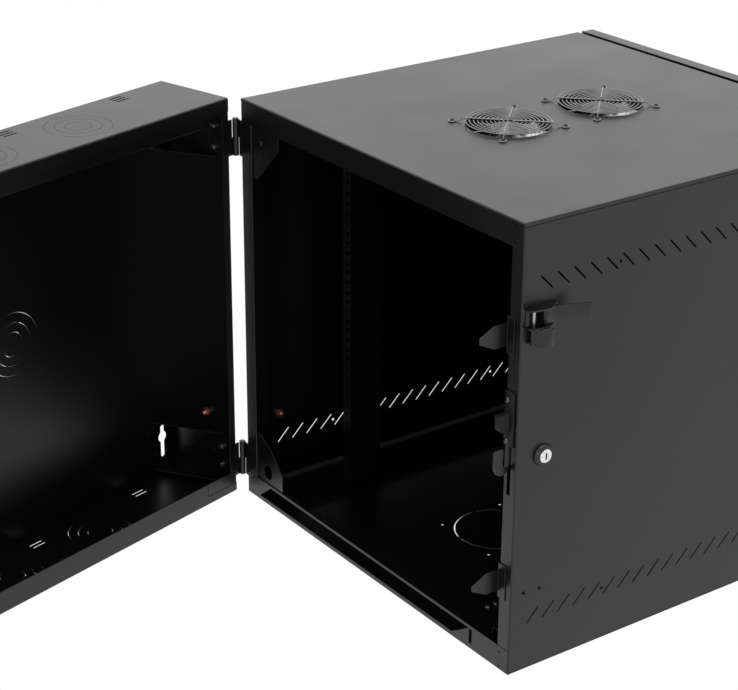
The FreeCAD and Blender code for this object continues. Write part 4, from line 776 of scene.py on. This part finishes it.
guard_screw_places = [
    in_body(FAN_ACROSS + sw * FAN_SCREW, depth + sd * FAN_SCREW, GUARD_SCREW_LEVEL)
    for depth in FAN_DEPTHS.values()
    for sw in (-1, 1)
    for sd in (-1, 1)
]
guard_screws = planted("guard_screw_heads", cross_head(GUARD_SCREW_SIZE), guard_screw_places, black_coat)
fit(guard_screws, "guard_screws", black_coat)

# Two tongues of folded sheet and a moulded block on a steel plate guide the free edge of the rack
# body into the wall box.
coated(rounded_copy("guide_tongues", bend=RAIL_BEND), "guide_tongues")
moulded = powder_coat("moulded_black", (0.003, 0.003, 0.0032, 1), 0.5, 500, 0.02 * MM)
moulded.node_tree.nodes["Principled BSDF"].inputs["Specular IOR Level"].default_value = 0.3
dark_zinc = bare_metal("dark_zinc", (0.16, 0.16, 0.16, 1), 0.25, 500)
fit(smooth(rounded_copy("locating_block", 0.8 * MM)), "locating_block", moulded)
REARWARD = (0, -1, 0)
block_places = [in_body(584, -2.6, height, REARWARD) for height in (322, 375)]
block_screws = planted("block_screw_heads", cross_head(0.95), block_places, dark_zinc)
fit(block_screws, "latch_screws", dark_zinc)
floor_places = [in_body(460.5, depth, 1.5) for depth in (82.5, 95.5)]
floor_screws = planted("floor_screws", cross_head(1.6), floor_places, dark_zinc)
fit(floor_screws, "bottom_panel", dark_zinc, stands_for=False)
gusset_place = in_body(46.4, 1.5, 547.4, REARWARD)
gusset_screw = planted("gusset_screw", cross_head(0.9), [gusset_place], black_coat)
coated(smooth(gusset_screw), "corner_gussets", stands_for=False)

# The key lock in the lock side: a glossy black collar, a bright plug with a key slot, and behind it a
# crank that moves the hook plate down and up over its strike.
LOCK_DEPTH = 42
LOCK_HEIGHT = 296.5
COLLAR = [
    (6.4, -8), (10.2, -8), (10.2, 0), (14.5, 0), (14.5, 1.4), (13.9, 2.2),
    (12.4, 5.6), (11.9, 6), (9.6, 6), (9.15, 5.4), (9.15, -1), (6.4, -1),
]
PLUG_FACE = 6.6
PLUG = [(0, -8.5), (6, -8.5), (6, -0.8), (8.9, -0.8), (8.9, 5.9), (8.3, 6.5), (0, PLUG_FACE)]
KEY_SLOT = (2.3, 9, 20)
gloss = powder_coat("glossy_black", (0.003, 0.003, 0.003, 1), 0.12, 300, 0.004 * MM)
chrome = bare_metal("bright_plug", (0.93, 0.93, 0.92, 1), 0.16, 300)
lock_place = in_body(BODY_WIDTH, LOCK_DEPTH, LOCK_HEIGHT, ACROSS)
fit(turned("side_lock_collar", COLLAR, lock_place, 48), "side_lock_housing", gloss)
plug = turned("side_lock_face", PLUG, lock_place, 48)
slot_place = lock_place @ Matrix.Translation((0, 0, PLUG_FACE * MM))
plug = smooth(cut_out(plug, [bar(*KEY_SLOT, slot_place)]))
fit(plug, "side_lock_plug", chrome)
for name in ("side_lock_nut", "side_lock_cam", "hook_guide_studs"):
    plated(name)
coated(rounded_copy("hook_plate", 0.3 * MM), "hook_plate")

# The draw latch above the lock: two ears on a base, a lever of folded sheet and a curled claw, all of
# coated steel, turning on plated pins.
for name in ("draw_latch_base", "draw_latch_lever", "draw_latch_claw"):
    coated(smooth(rounded_copy(name, 0.4 * MM)), name)
plated("draw_latch_pins")

# The front door: a folded and coated steel frame round a smoked plastic pane, which a retainer holds,
# on two plated pins and with a cam lock.
coated(rounded_copy("door_frame", bend=BEND_RADIUS), "door_frame")
for name in ("pane_retainer", "door_hinge_brackets"):
    coated(rounded_copy(name), name)
for name in ("door_hinge_pins", "door_lock_nut", "door_lock_cam"):
    plated(name)
fit(smooth(rounded_copy("door_lock_housing", 0.6 * MM)), "door_lock_housing", gloss)
fit(smooth(rounded_copy("door_lock_plug", 0.4 * MM)), "door_lock_plug", chrome)
smoked = powder_coat("smoked_pane", (0.012, 0.012, 0.014, 1), 0.05, 40, 0.002 * MM)
fit(rounded_copy("door_pane", 0.4 * MM), "door_pane", smoked)

# Earthing studs, one inside each half: a coppered thread, turned with its grooves, on a base that is
# welded to the sheet, with a red washer and a plated nut.
STUD = [(0, 0), (5.4, 0), (5.4, 1.2), (3, 1.2)]
WASHER = [(3.1, 1.2), (5.8, 1.2), (5.8, 2.4), (3.1, 2.4)]
NUT = [(3.05, 2.4), (5.3, 2.4), (5.5, 2.9), (5.5, 5.6), (5, 6.2), (3.05, 6.2)]
THREAD_PITCH = 1
THREAD_START = 1.7
THREAD_ROOT = 2.6
THREAD_CREST = 3
THREAD_END = 10.4
copper = bare_metal("copper", (0.72, 0.27, 0.1, 1), 0.35, 500)
red = powder_coat("red_washer", (0.42, 0.03, 0.02, 1), 0.45, 400, 0.01 * MM)
STUD_PLACES = {
    "wall_earth_stud": facing((0.2985, -0.072, -0.187), (-1, 0, 0)),
    "body_earth_stud": in_body(1.5, 55, 113, ACROSS),
}
for name, place in STUD_PLACES.items():
    thread = list(STUD)
    height = THREAD_START
    while height < THREAD_END - THREAD_PITCH:
        thread += [(THREAD_ROOT, height), (THREAD_CREST, height + THREAD_PITCH / 2)]
        height += THREAD_PITCH
    thread += [(2.4, THREAD_END), (0, THREAD_END + 0.2)]
    fit(turned(name + "_thread", thread, place, 20), name, copper)
    fit(turned(name + "_washer", WASHER, place, 28), name, red)
    fit(turned(name + "_nut", NUT, place, 6), name, zinc)

# The room, which is no part of the cabinet: a pale floor well below it, white all round, and three
# soft lamps.
FLOOR_LEVEL = -1.15
FLOOR_HALF = 30
WORLD_LEVEL = 1.0
LAMPS = [
    ("over", (0.3, -0.6, 3.2), (0.3, -0.5, 0), 2.4, 20),
    ("left", (-2.6, -1.8, 1.2), (0.3, -0.5, 0), 1.8, 8),
    ("far", (5.0, 4.0, 2.5), (0.3, -0.3, 0.3), 7, 52),
]


def pale(name):
    """A pale ground that the camera and mirrors see as plain white, and that still bounces light."""
    finish = bpy.data.materials.new(name)
    finish.use_nodes = True
    tree = finish.node_tree
    shader = tree.nodes["Principled BSDF"]
    shader.inputs["Base Color"].default_value = (0.86, 0.86, 0.86, 1)
    shader.inputs["Roughness"].default_value = 0.9
    path = tree.nodes.new("ShaderNodeLightPath")
    seen = tree.nodes.new("ShaderNodeMath")
    seen.operation = "MAXIMUM"
    seen_too = tree.nodes.new("ShaderNodeMath")
    seen_too.operation = "MAXIMUM"
    glow = tree.nodes.new("ShaderNodeEmission")
    glow.inputs["Color"].default_value = (1, 1, 1, 1)
    glow.inputs["Strength"].default_value = 1
    both = tree.nodes.new("ShaderNodeMixShader")
    link = tree.links.new
    link(path.outputs["Is Camera Ray"], seen.inputs[0])
    link(path.outputs["Is Glossy Ray"], seen.inputs[1])
    link(seen.outputs["Value"], seen_too.inputs[0])
    link(path.outputs["Is Transmission Ray"], seen_too.inputs[1])
    link(seen_too.outputs["Value"], both.inputs["Fac"])
    link(shader.outputs["BSDF"], both.inputs[1])
    link(glow.outputs["Emission"], both.inputs[2])
    link(both.outputs["Shader"], tree.nodes["Material Output"].inputs["Surface"])
    return finish


floor_mesh = bpy.data.meshes.new("floor")
floor_corners = [
    (sx * FLOOR_HALF, sy * FLOOR_HALF, FLOOR_LEVEL) for sx, sy in ((-1, -1), (1, -1), (1, 1), (-1, 1))
]
floor_mesh.from_pydata(floor_corners, [], [(0, 1, 2, 3)])
floor = bpy.data.objects.new("floor", floor_mesh)
bpy.context.scene.collection.objects.link(floor)
floor_mesh.materials.append(pale("pale_floor"))

scene = bpy.context.scene
scene.view_settings.view_transform = "Standard"
world = bpy.data.worlds.new("white_room")
scene.world = world
world.use_nodes = True
world.node_tree.nodes["Background"].inputs["Color"].default_value = (1, 1, 1, 1)
world.node_tree.nodes["Background"].inputs["Strength"].default_value = WORLD_LEVEL


def lamp(name, place, target, size, power):
    light = bpy.data.lights.new(name, "AREA")
    light.size = size
    light.energy = power
    holder = bpy.data.objects.new(name, light)
    bpy.context.scene.collection.objects.link(holder)
    holder.location = place
    holder.rotation_euler = (Vector(target) - Vector(place)).to_track_quat("-Z", "Y").to_euler()
    return holder


for values in LAMPS:
    lamp(*values)

camera_data = bpy.data.cameras.new("camera")
camera_data.lens = 97.64
camera_data.sensor_width = 36
camera_data.shift_x = 0.0405
camera_data.shift_y = -0.0146
camera = bpy.data.objects.new("camera", camera_data)
scene.collection.objects.link(camera)
camera.location = (-1.6059, -1.9258, 1.0850)
camera.rotation_euler = (math.radians(66.56), 0, math.radians(-49.947))
scene.camera = camera
